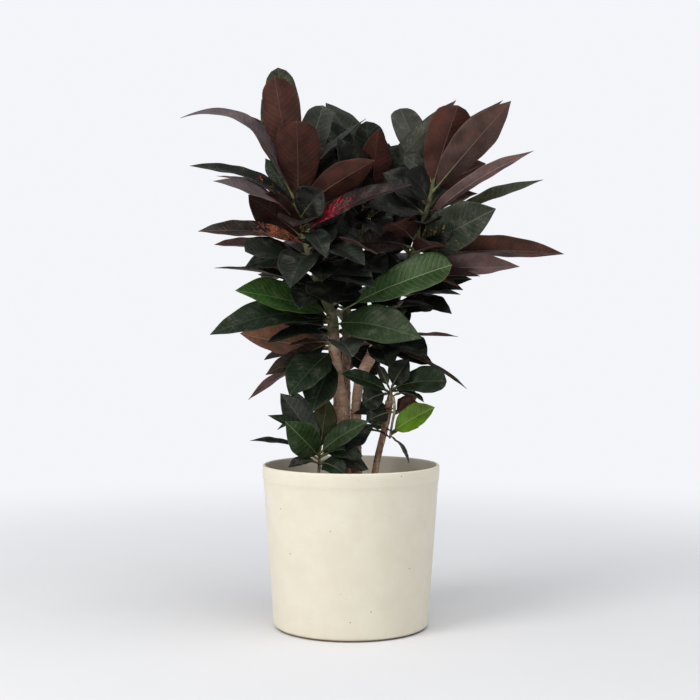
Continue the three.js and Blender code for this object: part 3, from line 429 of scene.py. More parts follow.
def linear(code):
    """The linear colour of a hex code."""
    parts = [int(code[k:k + 2], 16) / 255 for k in (0, 2, 4)]
    return np.array([c / 12.92 if c <= 0.04045 else ((c + 0.055) / 1.055) ** 2.4 for c in parts])


def draw(seed):
    """A repeatable draw from 0 to 1, the same as for the solids."""
    value = math.sin(seed * 12.9898) * 43758.5453
    return value - math.floor(value)


def unit(v):
    return v / np.linalg.norm(v, axis=-1, keepdims=True)


def between(limits, share):
    return limits[0] + (limits[1] - limits[0]) * share


def smooth_step(x, low, high):
    t = np.clip((x - low) / (high - low), 0, 1)
    return t * t * (3 - 2 * t)


def curve_through(knots, at):
    """A smooth curve through knots of place and value that never overshoots them."""
    x, y = np.array(knots, float).T
    step, slope = np.diff(x), np.diff(y) / np.diff(x)
    tangent = np.zeros_like(y)
    inner = slope[:-1] * slope[1:] > 0
    tangent[1:-1][inner] = (2 * slope[:-1] * slope[1:])[inner] / (slope[:-1] + slope[1:])[inner]
    tangent[0], tangent[-1] = slope[0], slope[-1]
    k = np.clip(np.searchsorted(x, at, side="right") - 1, 0, len(step) - 1)
    t = (at - x[k]) / step[k]
    rise = y[k] * (1 + 2 * t) * (1 - t) ** 2 + y[k + 1] * t * t * (3 - 2 * t)
    return rise + step[k] * (tangent[k] * t * (1 - t) ** 2 - tangent[k + 1] * t * t * (1 - t))


# Leaves: their rows and rule, and the bend that each has in the solids.

def stem_point(name, height):
    x, y, z = np.array([knot[:3] for knot in STEMS[name]], float).T
    return np.array([np.interp(height, z, x), np.interp(height, z, y), height])


def seen_at(x, y, z):
    """The place at depth y that is seen at x and z of the plane through the pot's axis."""
    scale = (EYE_DISTANCE + y) / EYE_DISTANCE
    return np.array([x * scale, y, EYE_HEIGHT + (z - EYE_HEIGHT) * scale])


def form_of(width):
    if width < SLIGHT_WIDTH:
        return "SLIGHT"
    return "PLAIN" if width < SLIM else "POINTED"


def written_leaf(row, seed, step=0):
    """The leaf of a row, its tip moved in depth by a step. The row's last entry may override the rest."""
    stem, height, x, y, z, width, rise, face, colouring, *more = row
    return {
        "stem": stem, "seed": seed, "width": width, "rise": rise, "root": stem_point(stem, height),
        "tip": seen_at(x, y + DEPTH_STEPS[step], z), "face": face, "colouring": colouring,
        "petiole": YOUNG_PETIOLE if stem in (LOW, SIDE) else PETIOLE, "form": form_of(width), "lean": LEAN,
        **(more[0] if more else {}),
    }


def ruled_leaf(stem, i, count, low, high, seed, step):
    """Leaf i of the count that a rule spreads up and round a stem, turned and lifted by a step."""
    share = (i + 0.5) / count
    turn = FILL_START + FILL_ARC * ((i * GOLDEN_SHARE) % 1) + TURNS[step % len(TURNS)]
    lift = FILL_DROOP + FILL_CLIMB * share ** FILL_CLIMB_POWER + LIFTS[step // len(TURNS)]
    heading = np.array([math.cos(turn) * math.cos(lift), math.sin(turn) * math.cos(lift), math.sin(lift)])
    root = stem_point(stem, low + (high - low) * share)
    return {
        "stem": stem, "seed": seed, "width": between(FILL_WIDTHS, draw(seed + 0.5)),
        "rise": between(FILL_RISES, draw(seed + 0.25)), "root": root,
        "tip": root + heading * between(FILL_LENGTHS, draw(seed)),
        "face": (between(FILL_TIPPING, draw(seed + 0.7)), between(FILL_TIPPING, draw(seed + 0.8)), 1),
        "colouring": FILL_COLOURINGS[int(draw(seed + 0.9) * len(FILL_COLOURINGS))],
        "petiole": PETIOLE, "form": "PLAIN", "lean": LEAN,
    }


def leaf_frame(leaf, share):
    """Centres, sides and upper normals of a leaf at shares of its way from root to tip."""
    chord = leaf["tip"] - leaf["root"]
    along = unit(chord)
    face = np.array(leaf["face"], float)
    up = unit(face - along * face.dot(along))
    s = share[:, None]
    tilt = 1 - leaf["lean"] + 2 * leaf["lean"] * s
    arch = 4 * s * (1 - s) * tilt
    slope = 4 * (1 - 2 * s) * tilt + 8 * s * (1 - s) * leaf["lean"]
    centre = leaf["root"] + chord * s + up * leaf["rise"] * arch
    heading = unit(chord + up * leaf["rise"] * slope)
    side = unit(np.cross(heading, up))
    return centre, side, np.cross(side, heading)


def length_of(leaf):
    return np.linalg.norm(leaf["tip"] - leaf["root"])


def bare_share(leaf):
    return min(leaf["petiole"] / length_of(leaf), MOST_BARE)


def edge_waves(leaf, station, share):
    phase = leaf["seed"] * WAVE_OF_LEAF + station * WAVE_OF_BLADE
    swing = WAVE * share * min(1, leaf["width"] / WAVED_WIDTH)
    return swing * np.sin(phase), swing * np.sin(phase + WAVE_OF_EDGE)


def solid_edges(leaf):
    """The upper edge points of the leaf's solid, past its first section."""
    station, share = np.array(FORMS[leaf["form"]][1:-1], float).T
    bare = bare_share(leaf)
    centre, side, normal = leaf_frame(leaf, bare + (1 - bare) * station)
    half = np.maximum(leaf["width"] / 2 * share, LEAST_HALF)[:, None]
    left, right = (wave[:, None] for wave in edge_waves(leaf, station, share))
    reach = half * math.cos(FOLD)
    lift = half * math.sin(FOLD) + BLADE / 2
    points = [centre - side * reach + normal * (lift + left), centre + normal * BLADE / 2,
              centre + side * reach + normal * (lift + right)]
    return np.concatenate(points)


def solid_points(name):
    """The points of a solid, in a tree that finds the nearest one."""
    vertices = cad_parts[name].data.vertices
    tree = kdtree.KDTree(len(vertices))
    for i, vertex in enumerate(vertices):
        tree.insert(vertex.co / MM, i)
    tree.balance()
    return tree


def as_built(make, steps, tree):
    """The leaf with the bend whose points most often lie in the solid, or None where it wasn't built."""
    best, most = None, MATCH_SHARE
    for step in range(steps):
        leaf = make(step)
        points = solid_edges(leaf)
        found = sum(tree.find(point)[2] < MATCH_MM for point in points) / len(points)
        if found > most:
            best, most = leaf, found
    return best


def built_leaves():
    """All leaves: those of the solids as they were built, and the small ones as written."""
    trees = {stem: solid_points(stem) for stem in LEAFY}
    leaves = []
    for seed, row in enumerate(LEAVES):
        make = lambda step: written_leaf(row, seed, step)
        leaves.append(as_built(make, len(DEPTH_STEPS), trees[row[0]]))
    for stem, count, low, high, first in FILL:
        for i in range(count):
            make = lambda step: ruled_leaf(stem, i, count, low, high, first + i, step)
            leaves.append(as_built(make, len(TURNS) * len(LIFTS), trees[stem]))
    for i, row in enumerate(SMALL_LEAVES):
        leaves.append(written_leaf((*row[:7], FORWARD, *row[7:]), SMALL_SEED + i))
    return [leaf for leaf in leaves if leaf]


# Meshes are gathered as arrays of points, faces and what each point or face carries.

class Gather:
    """Points with their attributes, and faces with their material and shading, joined into one mesh."""

    def __init__(self):
        self.points, self.plan, self.faces, self.slots, self.smooth = [], [], [], [], []
        self.colours = {"tint": [], "vein": [], "blotch": []}
        self.values = {"edge": [], "chance": []}
        self.count = 0

    def add(self, points, faces, plan, slot=0, smooth=True, edge=0, chance=0, **colours):
        """Adds points with their faces, each place of the plan in mm, and the colours that they carry."""
        points = points.reshape(-1, 3)
        n = len(points)
        self.join(faces + self.count, slot, smooth)
        self.count += n
        self.points.append(points)
        self.plan.append(np.broadcast_to(plan, (n, 2)) / 100)
        self.values["edge"].append(np.broadcast_to(edge, n))
        self.values["chance"].append(np.full(n, chance, float))
        for name, rows in self.colours.items():
            rows.append(np.broadcast_to(colours.get(name, (0, 0, 0, 0)), (n, 4)))

    def join(self, faces, slot, smooth):
        """Adds faces between points that are in already."""
        self.faces.extend(np.asarray(faces).tolist())
        self.slots.extend([slot] * len(faces))
        self.smooth.extend([smooth] * len(faces))

    def mesh(self, name):
        mesh = bpy.data.meshes.new(name)
        mesh.from_pydata((np.concatenate(self.points) * MM).tolist(), [], self.faces)
        mesh.polygons.foreach_set("material_index", self.slots)
        mesh.polygons.foreach_set("use_smooth", self.smooth)
        for label, rows in self.colours.items():
            data = mesh.attributes.new(label, "FLOAT_COLOR", "POINT").data
            data.foreach_set("color", np.concatenate(rows).ravel())
        for label, rows in self.values.items():
            mesh.attributes.new(label, "FLOAT", "POINT").data.foreach_set("value", np.concatenate(rows))
        corners = np.empty(len(mesh.loops), np.int32)
        mesh.loops.foreach_get("vertex_index", corners)
        layer = mesh.uv_layers.new(name="plan")
        layer.data.foreach_set("uv", np.concatenate(self.plan)[corners].ravel())
        mesh.update()
        return mesh


def piece(name, gather, materials, slot, *nodes):
    """A visible piece of the object, in place of the solids named last."""
    mesh = gather.mesh(name)
    obj = bpy.data.objects.new(name, mesh)
    bpy.context.scene.collection.objects.link(obj)
    for material in materials:
        mesh.materials.append(material)
    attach(obj, "root")
    if nodes:
        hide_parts(*nodes)
    return obj


def grid_faces(rows, columns, closed=False):
    """Quads of a grid of points in rows, wound so that the normal is columns x rows."""
    i, j = np.meshgrid(np.arange(rows - 1), np.arange(columns if closed else columns - 1), indexing="ij")
    i, j = i.ravel(), j.ravel()
    k = (j + 1) % columns
    return np.stack([i * columns + j, i * columns + k, (i + 1) * columns + k, (i + 1) * columns + j], 1)


def rim_faces(rows, columns, end):
    """Quads round the edge between the last two grids of points, the upper one first."""
    top = end - 2 * rows * columns
    i = np.arange(rows - 1) * columns
    j = np.arange(columns - 1)
    far, last = columns - 1, (rows - 1) * columns
    loops = [(i, i + columns), (i + columns + far, i + far), (j + 1, j), (last + j, last + j + 1)]
    a, b = (np.concatenate([pair[k] for pair in loops]) + top for k in (0, 1))
    return np.stack([a, b, b + rows * columns, a + rows * columns], 1)


def round_angles(sides):
    return np.linspace(0, CIRCLE, sides, endpoint=False)


def level_circles(radius, angle, height):
    """Points of level circles; radii and heights that differ stand in rows."""
    return np.stack(np.broadcast_arrays(radius * np.cos(angle), radius * np.sin(angle), height), -1)


def close_ends(obj):
    """Merges the points on a turned mesh's axis."""
    made = bmesh.new()
    made.from_mesh(obj.data)
    axis = [v for v in made.verts if math.hypot(v.co.x, v.co.y) < 0.02 * MM]
    bmesh.ops.remove_doubles(made, verts=axis, dist=0.05 * MM)
    made.to_mesh(obj.data)
    made.free()


# Leaves.

def tint_of(leaf, at):
    """A colour of the leaf's colouring as RGBA, a little lighter or darker for each leaf."""
    light = between(LIGHTNESS, draw(leaf["seed"] * 3 + 0.37))
    return np.append(linear(COLOURINGS[leaf["colouring"]][at]) * light, 1)


def add_blade(gather, leaf):
    """Both faces of the blade and its rim: folded at the midrib, waved at the edge, buckled in between."""
    bare = bare_share(leaf)
    station = np.linspace(0, 1, ALONG + 1)
    centre, side, normal = (rows[:, None] for rows in leaf_frame(leaf, bare + (1 - bare) * station))
    share = curve_through(FORMS[leaf["form"]], station)
    left, right = (wave[:, None] for wave in edge_waves(leaf, station, share))
    half = np.maximum(leaf["width"] / 2 * share, LEAST_FINE_HALF)[:, None]
    s = station[:, None]
    v = ACROSS[None, :]
    a = np.abs(v)
    ends = np.sin(math.pi * s)
    phase = leaf["seed"] * 2.1 + np.sign(v) * 1.3
    wave = np.where(v < 0, left, right) * a ** 1.5
    ruffle = RUFFLE * min(1, leaf["width"] / WAVED_WIDTH) * np.sin(s * RUFFLE_RATE + phase) * a ** 4 * ends
    buckle = BUCKLE * leaf["width"] * np.sin(s * BUCKLE_RATE + 2 * phase + 2.5 * a) * np.sin(math.pi * a)
    fold = half * math.sin(FOLD) * (np.sqrt(a * a + 0.02) - 0.14) / 0.87
    curl = -CURL * half * a ** 4
    lift = fold + wave + ruffle + buckle * ends + curl
    reach = v * half * math.cos(FOLD)
    middle = centre + side * reach[..., None] + normal * lift[..., None]
    thick = normal * (HALF_THICKNESS * (1 - EDGE_THINNING * a ** 3))[..., None]
    plan = np.stack([np.broadcast_to(s * (length_of(leaf) * (1 - bare)), reach.shape), v * half], -1)
    facts = {"plan": plan.reshape(-1, 2), "edge": np.broadcast_to(a, reach.shape).ravel(),
             "chance": draw(leaf["seed"] + 0.11) * 10}
    blotch = COLOURINGS[leaf["colouring"]][3:]
    if blotch:
        facts["blotch"] = np.append(linear(blotch[0]), blotch[1])
    under = tint_of(leaf, 1)
    under_vein = np.append(under[:3] * 1.7 + 0.01, 1)
    faces = grid_faces(ALONG + 1, len(ACROSS))
    gather.add(middle + thick, faces, slot=UPPER, tint=tint_of(leaf, 0), vein=tint_of(leaf, 2), **facts)
    gather.add(middle - thick, faces[:, ::-1], slot=UNDER, tint=under, vein=under_vein, **facts)
    gather.join(rim_faces(ALONG + 1, len(ACROSS), gather.count), UNDER, False)


def add_stalk(gather, leaf):
    """The stalk and, below the blade, the midrib that it runs into."""
    bare = bare_share(leaf)
    share = np.linspace(0, bare + (1 - bare) * RIB_END, STALK_RINGS)
    centre, side, normal = leaf_frame(leaf, share)
    into = smooth_step(share, bare * 0.8, bare + (1 - bare) * 0.1)
    greening = smooth_step(share, bare, bare + (1 - bare) * 0.4)[:, None]
    past = np.clip((share - bare) / (1 - bare), 0, 1)
    size = 0.55 + 0.45 * min(1, leaf["width"] / WAVED_WIDTH)
    along = share * length_of(leaf)
    radius = size * (STALK_RADIUS * (1 - into) + into * (RIB_RADIUS - RIB_TAPER * past ** 0.7))
    radius = radius + size * SWELL_RADIUS * np.exp(-((along - SWELL_PLACE) / SWELL_LENGTH) ** 2)
    drop = 0.5 * (1 - into) + into * (radius + 0.1)
    angle = round_angles(STALK_SIDES)
    ring = side[:, None] * np.cos(angle)[:, None] + normal[:, None] * np.sin(angle)[:, None]
    points = (centre - normal * drop[:, None])[:, None] + ring * radius[:, None, None]
    rib = np.append(tint_of(leaf, 1)[:3] * 1.8 + 0.012, 1)
    colours = YOUNG_STALK_COLOURS if leaf["stem"] == SIDE else STALK_COLOURS
    green = np.append(linear(colours[leaf["seed"] % len(colours)]), 1)
    tint = np.repeat(green * (1 - greening) + rib * greening, STALK_SIDES, 0)
    plan = np.stack([np.repeat(along, STALK_SIDES), np.tile(angle, STALK_RINGS)], 1)
    faces = grid_faces(STALK_RINGS, STALK_SIDES, closed=True)
    gather.add(points, faces, plan, STALK, tint=tint)
    gather.join([np.arange(gather.count - STALK_SIDES, gather.count)], STALK, True)


def foliage(stem, leaves, materials):
    gather = Gather()
    for leaf in leaves:
        if leaf["stem"] == stem:
            add_blade(gather, leaf)
            add_stalk(gather, leaf)
    return piece(stem + "_leaves", gather, materials, LEAFY[stem], stem)


# Stems.

def hills(x, y, z):
    """Smooth repeatable relief from -1 to 1 over points in space."""
    total = np.zeros(np.broadcast(x, y, z).shape)
    for k, weight in enumerate((0.5, 0.3, 0.2)):
        f = 1.9 ** k
        level = np.sin(z * f * 0.9 + 0.6 * k + 1.5 * np.sin(x * f * 0.7))
        total = total + weight * np.sin(x * f * 1.3 + 1.7 * k) * np.sin(y * f * 1.1 + 2.3 * k) * level
    return total


def spline(line, step):
    """Centres and radii every step along a smooth line through knots of x, y, z and radius."""
    knots = np.array(line, float)
    z = np.append(np.arange(knots[0, 2], knots[-1, 2], step), knots[-1, 2])
    x, y, radius = (curve_through(knots[:, [2, k]], z) for k in (0, 1, 3))
    return np.stack([x, y, z], 1), radius


def bark_stem(line, colours, scar_step, relief, sides=28, cut=False):
    """A bark stem with leaf scars, its colour going from the first to the last of colours up its height."""
    centre, radius = spline(line, 2)
    rings = len(radius)
    angle = round_angles(sides)
    round_x, round_y = np.cos(angle)[None], np.sin(angle)[None]
    z = centre[:, 2]
    turn = (z / scar_step)[:, None]
    near = np.cos(angle[None] - SCAR_TURN * np.floor(turn)) * 0.5 + 0.5
    scar = np.exp(-(((turn % 1) - 0.5) * scar_step / SCAR_SIZE) ** 2) * near ** 2
    rough = hills(round_x * 2.2, round_y * 2.2, z[:, None] / 9)
    fine = hills(round_x * 6, round_y * 6 + 4, z[:, None] / 3)
    thickness = radius[:, None] * BARK_CORE + relief * (0.7 * rough + 0.3 * fine)
    thickness = thickness + relief * SCAR_RISE * scar
    points = centre[:, None] + level_circles(1, angle, 0)[None] * thickness[..., None]
    green = smooth_step(z, *BARK_TO_GREEN) if len(colours) > 1 else np.zeros(rings)
    green = np.broadcast_to(green[:, None, None], (rings, sides, 1))
    shade = 1 - SCAR_DARKNESS * scar[..., None]
    tint = (linear(colours[0]) * (1 - green) + linear(colours[-1]) * green) * shade
    tint = np.append(tint, np.ones((rings, sides, 1)), 2).reshape(-1, 4)
    plan = np.stack([np.repeat(z, sides), np.tile(angle * radius.mean(), rings)], 1)
    gather = Gather()
    gather.add(points, grid_faces(rings, sides, closed=True), plan, tint=tint, vein=green.reshape(-1, 1))
    add_cap(gather, points[-1], centre[-1] + (0, 0, 0.6), tint[-1], cut)
    add_cap(gather, points[0][::-1], centre[0], tint[0], False)
    return gather


def add_cap(gather, ring, middle, tint, cut):
    """A fan that closes a ring; a cut end has its own colour and a slightly hollow pith."""
    sides = len(ring)
    inner = middle + (ring - middle) * 0.55
    if cut:
        inner = inner + (0, 0, 0.5)
        tint = np.append(linear(CUT_COLOUR), 1)
    points = np.concatenate([ring, inner, [middle]])
    i = np.arange(sides)
    k = (i + 1) % sides
    first = gather.count
    gather.add(points, np.stack([i, k, k + sides, i + sides], 1), points[:, :2], smooth=not cut, tint=tint)
    fans = np.stack([i + sides, k + sides, np.full(sides, 2 * sides)], 1)
    gather.join(fans + first, 0, not cut)


# The pot and the soil.

def outer_radius(z):
    return POT_FOOT_RADIUS + (POT_TOP_RADIUS - POT_FOOT_RADIUS) * z / POT_HEIGHT


def inner_radius(z):
    return outer_radius(z) - WALL


def pot_profile():
    """Radius and height from the middle of the bottom round to the middle of the floor inside."""
    foot, band, shoulder = POT_FOOT_RADIUS - FOOT_INSET, POT_HEIGHT - BAND_HEIGHT, POT_HEIGHT - LIP
    bottom = [(0, 0), (foot * 0.5, 0), (foot - 0.5, 0), (foot, 0.3), (foot, FOOT_HEIGHT),
              (foot + 0.5, FOOT_HEIGHT), (POT_FOOT_RADIUS - 1.4, FOOT_HEIGHT + 0.4),
              (POT_FOOT_RADIUS - 0.3, FOOT_HEIGHT + 1.6), (outer_radius(6) - 0.1, 6)]
    wall = [(outer_radius(z), z) for z in np.arange(9, band - BAND_STEP, 8)]
    step = [(outer_radius(band) + 0.4, band - 1), (outer_radius(band) + 0.8, band)]
    upper = [(outer_radius(z) + BAND_RISE, z) for z in np.arange(band + 2, shoulder - 1, 4)]
    lip = []
    for turn in np.linspace(0, math.pi, 9):
        reach = WALL / 2 * math.cos(turn)
        lip.append((POT_TOP_RADIUS - WALL / 2 + reach, POT_HEIGHT - LIP_ROUND + LIP_ROUND * math.sin(turn)))
    inner = [(inner_radius(z), z) for z in np.arange(shoulder - 1, CORNER_TOP, -12)]
    corner = inner_radius(FLOOR)
    floor = [(corner - 1.5, FLOOR + 2), (corner - CORNER_INSET, FLOOR), (0, FLOOR)]
    return np.array(bottom + wall + step + upper + lip + inner + floor, float)


def pot_piece(material):
    sides, profile = 192, pot_profile()
    angle = round_angles(sides)
    points = level_circles(np.maximum(profile[:, :1], 0.01), angle, profile[:, 1:])
    plan = np.stack([np.tile(angle * 100, len(profile)), np.repeat(profile[:, 1], sides)], 1)
    gather = Gather()
    gather.add(points, grid_faces(len(profile), sides, closed=True), plan)
    close_ends(piece("pot_body", gather, [material], "pot_ceramic", "pot"))


def soil_height(x, y):
    """The soil's top: slightly domed, with crumbs."""
    dome = SOIL_TOP - SOIL_SWELL * (np.hypot(x, y) / inner_radius(SOIL_TOP)) ** 2
    crumbs = 1.4 * hills(x / 5.5, y / 5.5, x * 0.05) + 0.8 * hills(x / 2.4, y / 2.4, y * 0.1 + 2)
    return dome - 1.0 + crumbs


def soil_piece(material):
    """The soil as one closed body, 0.8 mm clear of the pot's wall."""
    rings, sides, clear = 64, 180, 0.8
    angle = round_angles(sides)
    radius = np.linspace(0, 1, rings)[:, None] * (inner_radius(SOIL_TOP) - clear)
    top = level_circles(radius, angle, 0.0)
    top[..., 2] = soil_height(top[..., 0], top[..., 1])
    below = [top[-1] * (1, 1, 0) + (0, 0, SOIL_TOP - 8)]
    for z in (150, 80, CORNER_TOP):
        below.append(level_circles(inner_radius(z) - clear, angle, z))
    for r in (inner_radius(FLOOR) - CORNER_INSET - GAP, 0.01):
        below.append(level_circles(r, angle, FLOOR + GAP))
    points = np.concatenate([top, below])
    gather = Gather()
    gather.add(points, grid_faces(len(points), sides, closed=True)[:, ::-1], points.reshape(-1, 3)[:, :2])
    close_ends(piece("soil_body", gather, [material], "potting_soil", "soil"))


CRUMBS = 1500
LUMP = np.array([(1, 0, 0), (-1, 0, 0), (0, 1, 0), (0, -1, 0), (0, 0, 1), (0, 0, -1)], float)
LUMP_FACES = np.array([
    (0, 2, 4), (2, 1, 4), (1, 3, 4), (3, 0, 4), (2, 0, 5), (1, 2, 5), (3, 1, 5), (0, 3, 5),
])
CRUMB_COLOURS = ["2e2119", "3c2b1f", "241a14", "4a3626", "33251b", "8c8578"]


def crumbs_piece(material):
    """Loose crumbs, bark chips and a few pale grains on the soil."""
    draws = np.random.default_rng(7)
    stems = [line[1] for line in STEMS.values() if line[0][2] < SOIL_TOP]
    gather = Gather()
    for _ in range(CRUMBS):
        far = math.sqrt(draws.random()) * (inner_radius(SOIL_TOP) - 5)
        turn = draws.random() * CIRCLE
        x, y = far * math.cos(turn), far * math.sin(turn)
        size = 0.9 + 2.2 * draws.random() ** 3
        shape = LUMP * size * (0.6 + 0.8 * draws.random((6, 3)))
        spin = draws.random() * math.pi
        c, s = math.cos(spin), math.sin(spin)
        turned = shape @ np.array([(c, s, 0), (-s, c, 0), (0, 0, 0.7)])
        colour = linear(CRUMB_COLOURS[int(draws.random() ** 1.4 * len(CRUMB_COLOURS))])
        if any(math.hypot(x - stem[0], y - stem[1]) < stem[3] + size for stem in stems):
            continue
        points = turned + (x, y, float(soil_height(x, y)) + size * 0.3)
        gather.add(points, LUMP_FACES, points[:, :2], smooth=False, tint=np.append(colour, 1))
    piece("soil_crumbs", gather, [material], "potting_soil")


# Materials.

class Nodes:
    """A material with short calls for the nodes that it needs."""

    def __init__(self, name):
        self.material = bpy.data.materials.new(name)
        self.material.use_nodes = True
        self.tree = self.material.node_tree
        self.shader = self.tree.nodes["Principled BSDF"]

    def new(self, kind, inputs=(), **settings):
        made = self.tree.nodes.new(kind)
        for key, value in settings.items():
            setattr(made, key, value)
        for key, value in dict(inputs).items():
            self.put(made.inputs[key], value)
        return made

    def put(self, socket, value):
        if isinstance(value, bpy.types.NodeSocket):
            self.tree.links.new(value, socket)
        elif isinstance(value, str):
            socket.default_value = (*linear(value), 1)
        else:
            socket.default_value = value

    def math(self, operation, *values):
        return self.new("ShaderNodeMath", enumerate(values), operation=operation).outputs[0]

    def plus(self, a, b):
        return self.math("ADD", a, b)

    def times(self, a, b):
        return self.math("MULTIPLY", a, b)

    def step(self, value, low, high, out_low=0.0, out_high=1.0):
        inputs = enumerate((value, low, high, out_low, out_high))
        return self.new("ShaderNodeMapRange", inputs, interpolation_type="SMOOTHSTEP").outputs[0]

    def fade(self, value, low, high, full=1.0):
        """Full below low, falling to nothing at high."""
        return self.step(value, low, high, full, 0.0)

    def mix(self, share, a, b, blend="MIX"):
        inputs = {0: share, 6: a, 7: b}
        return self.new("ShaderNodeMix", inputs, data_type="RGBA", blend_type=blend).outputs[2]

    def tinted(self, colour, by):
        return self.mix(1.0, colour, by, "MULTIPLY")

    def triple(self, x, y, z):
        return self.new("ShaderNodeCombineXYZ", {0: x, 1: y, 2: z}).outputs[0]

    def noise(self, vector, scale, detail=3.0, roughness=0.55):
        inputs = {"Vector": vector, "Scale": scale, "Detail": detail, "Roughness": roughness}
        return self.new("ShaderNodeTexNoise", inputs).outputs["Fac"]

    def carried(self, name, output="Color"):
        """What the mesh's points carry under a name."""
        return self.new("ShaderNodeAttribute", attribute_name=name).outputs[output]

    def place(self, x=1.0, y=1.0, z=1.0):
        """The place on the object, scaled along its axes."""
        place = self.new("ShaderNodeTexCoord").outputs["Object"]
        return self.new("ShaderNodeVectorMath", {0: place, 1: (x, y, z)}, operation="MULTIPLY").outputs[0]

    def bump(self, height, distance, strength=1.0):
        made = self.new("ShaderNodeBump", {"Height": height, "Distance": distance, "Strength": strength})
        self.put(self.shader.inputs["Normal"], made.outputs[0])

    def surface(self, **values):
        for key, value in values.items():
            self.put(self.shader.inputs[key.replace("_", " ")], value)
        return self.material


VEIN_STEP_MM = 9.5
# The pale mottle of the upper sides: dust and water marks, and painted sheen.
DUST_AND_SHEEN = "807e72"
# Parts of a leaf are tinted by this, redder than the rest.
FLUSH = (1.25, 0.8, 0.78, 1)
YOUNG_RIB = "a3a468"
LEAF_GLOSS = (1.0, 0.94, 0.84, 1.0)


def blade_material(name, below):
    """A leaf face: midrib, curved side veins on both sides, a fine net between them, and blotches."""
    n = Nodes(name)
    plan = n.new("ShaderNodeSeparateXYZ", {0: n.new("ShaderNodeUVMap", uv_map="plan").outputs[0]})
    u, v = plan.outputs[:2]
    chance = n.carried("chance", "Fac")
    edge = n.carried("edge", "Fac")
    spot = n.triple(u, v, chance)
    along = n.times(u, 100.0)
    across = n.times(n.math("ABSOLUTE", v), 100.0)

    # The course grows by one from each side vein to the next. The blade's halves are out of step.
    reach = n.plus(n.times(across, 0.42), n.times(n.times(across, across), 0.011))
    course = n.math("DIVIDE", n.math("SUBTRACT", along, reach), VEIN_STEP_MM)
    waver = n.times(n.noise(spot, 9.0, 2.0), 0.55)
    half_step = n.times(n.math("SIGN", v), 0.23)
    course = n.plus(n.plus(course, half_step), n.plus(waver, chance))
    part = n.math("ABSOLUTE", n.math("SUBTRACT", n.math("FRACT", course), 0.5))
    near = n.times(n.math("SUBTRACT", 0.5, part), VEIN_STEP_MM)
    side_vein = n.times(n.fade(near, 0.18, 0.62), n.fade(edge, 0.8, 0.97))
    midrib = n.fade(across, 0.45, 1.15)
    net = n.new("ShaderNodeTexVoronoi", {"Vector": spot, "Scale": 42.0}, feature="DISTANCE_TO_EDGE")
    net = n.fade(net.outputs["Distance"], 0.0, 0.09)
    vein = n.math("MAXIMUM", n.times(side_vein, 0.28 if below else 0.42), midrib)
    vein = n.math("MAXIMUM", vein, n.times(net, 0.16))

    # Broad lighter and darker patches: partly the leaf's own uneven tone, partly painted shade of its soft
    # folds.
    shade = n.step(n.noise(spot, 3.2, 3.0), 0.3, 0.7, 0.66, 1.34)
    ground = n.tinted(n.carried("tint"), n.triple(shade, shade, shade))
    flush = n.times(n.step(n.noise(spot, 6.5, 3.0, 0.65), 0.46, 0.62), 0.55 if below else 0.2)
    ground = n.mix(flush, ground, n.tinted(ground, FLUSH))

    # Blotches follow the side veins and thin out towards the tip.
    share = n.carried("blotch", "Alpha")
    lane = n.triple(course, n.times(across, 0.035), chance)
    speck = n.plus(n.times(n.noise(lane, 1.3, 2.0), 0.5), n.times(n.noise(spot, 34.0, 4.0, 0.7), 0.5))
    speck = n.plus(speck, n.times(vein, 0.08))
    amount = n.times(share, n.step(along, 45.0, 115.0, 1.0, 0.45))
    start = n.math("SUBTRACT", 0.72, n.times(amount, 0.34))
    spots = n.times(n.step(n.math("SUBTRACT", speck, start), 0.0, 0.05), n.step(share, 0.0, 0.1))
    tone = n.step(n.noise(spot, 48.0, 2.0), 0.35, 0.65, 0.55, 1.5)
    fleck = n.tinted(n.carried("blotch"), n.triple(tone, tone, tone))
    fleck = n.mix(n.step(n.noise(spot, 19.0, 2.0), 0.44, 0.58), fleck, n.tinted(fleck, FLUSH))
    ground = n.mix(n.times(spots, 0.45 if below else 0.85), ground, fleck)

    # Pale mottling on the upper side: partly dust and water marks, partly painted sheen.
    if not below:
        dust_and_sheen = n.times(n.noise(spot, 5.0, 3.0), n.noise(spot, 55.0, 5.0, 0.75))
        ground = n.mix(n.step(dust_and_sheen, 0.27, 0.42, 0.0, 0.3), ground, DUST_AND_SHEEN)
    colour = n.mix(n.times(vein, 0.75), ground, n.carried("vein"))
    colour = n.mix(n.times(midrib, n.fade(along, 4.0, 40.0, 0.32)), colour, YOUNG_RIB)
    colour = n.mix(n.step(edge, 0.93, 1.0, 0.0, 0.35), colour, n.carried("vein"))
    height = n.plus(n.times(n.step(near, 0.0, 3.4), 0.55), n.times(net, -0.06))
    height = n.math("SUBTRACT", height, n.times(midrib, 0.5))
    n.bump(n.times(height, -1.0) if below else height, 0.6 * MM, 0.7)
    dull = (0.5, 0.66) if below else (0.36, 0.52)
    return n.surface(Base_Color=colour, Roughness=n.step(n.noise(spot, 30.0, 3.0), 0.3, 0.7, *dull),
                     Specular_IOR_Level=0.13 if below else 0.17, Specular_Tint=LEAF_GLOSS)


def stalk_material():
    n = Nodes("leaf_stalk")
    grain = n.noise(n.place(), 300.0, 3.0)
    colour = n.mix(n.step(grain, 0.35, 0.7, 0.0, 0.35), n.carried("tint"), "4a3a2a")
    n.bump(grain, 0.2 * MM, 0.5)
    return n.surface(Base_Color=colour, Roughness=n.step(grain, 0.3, 0.7, 0.4, 0.6))


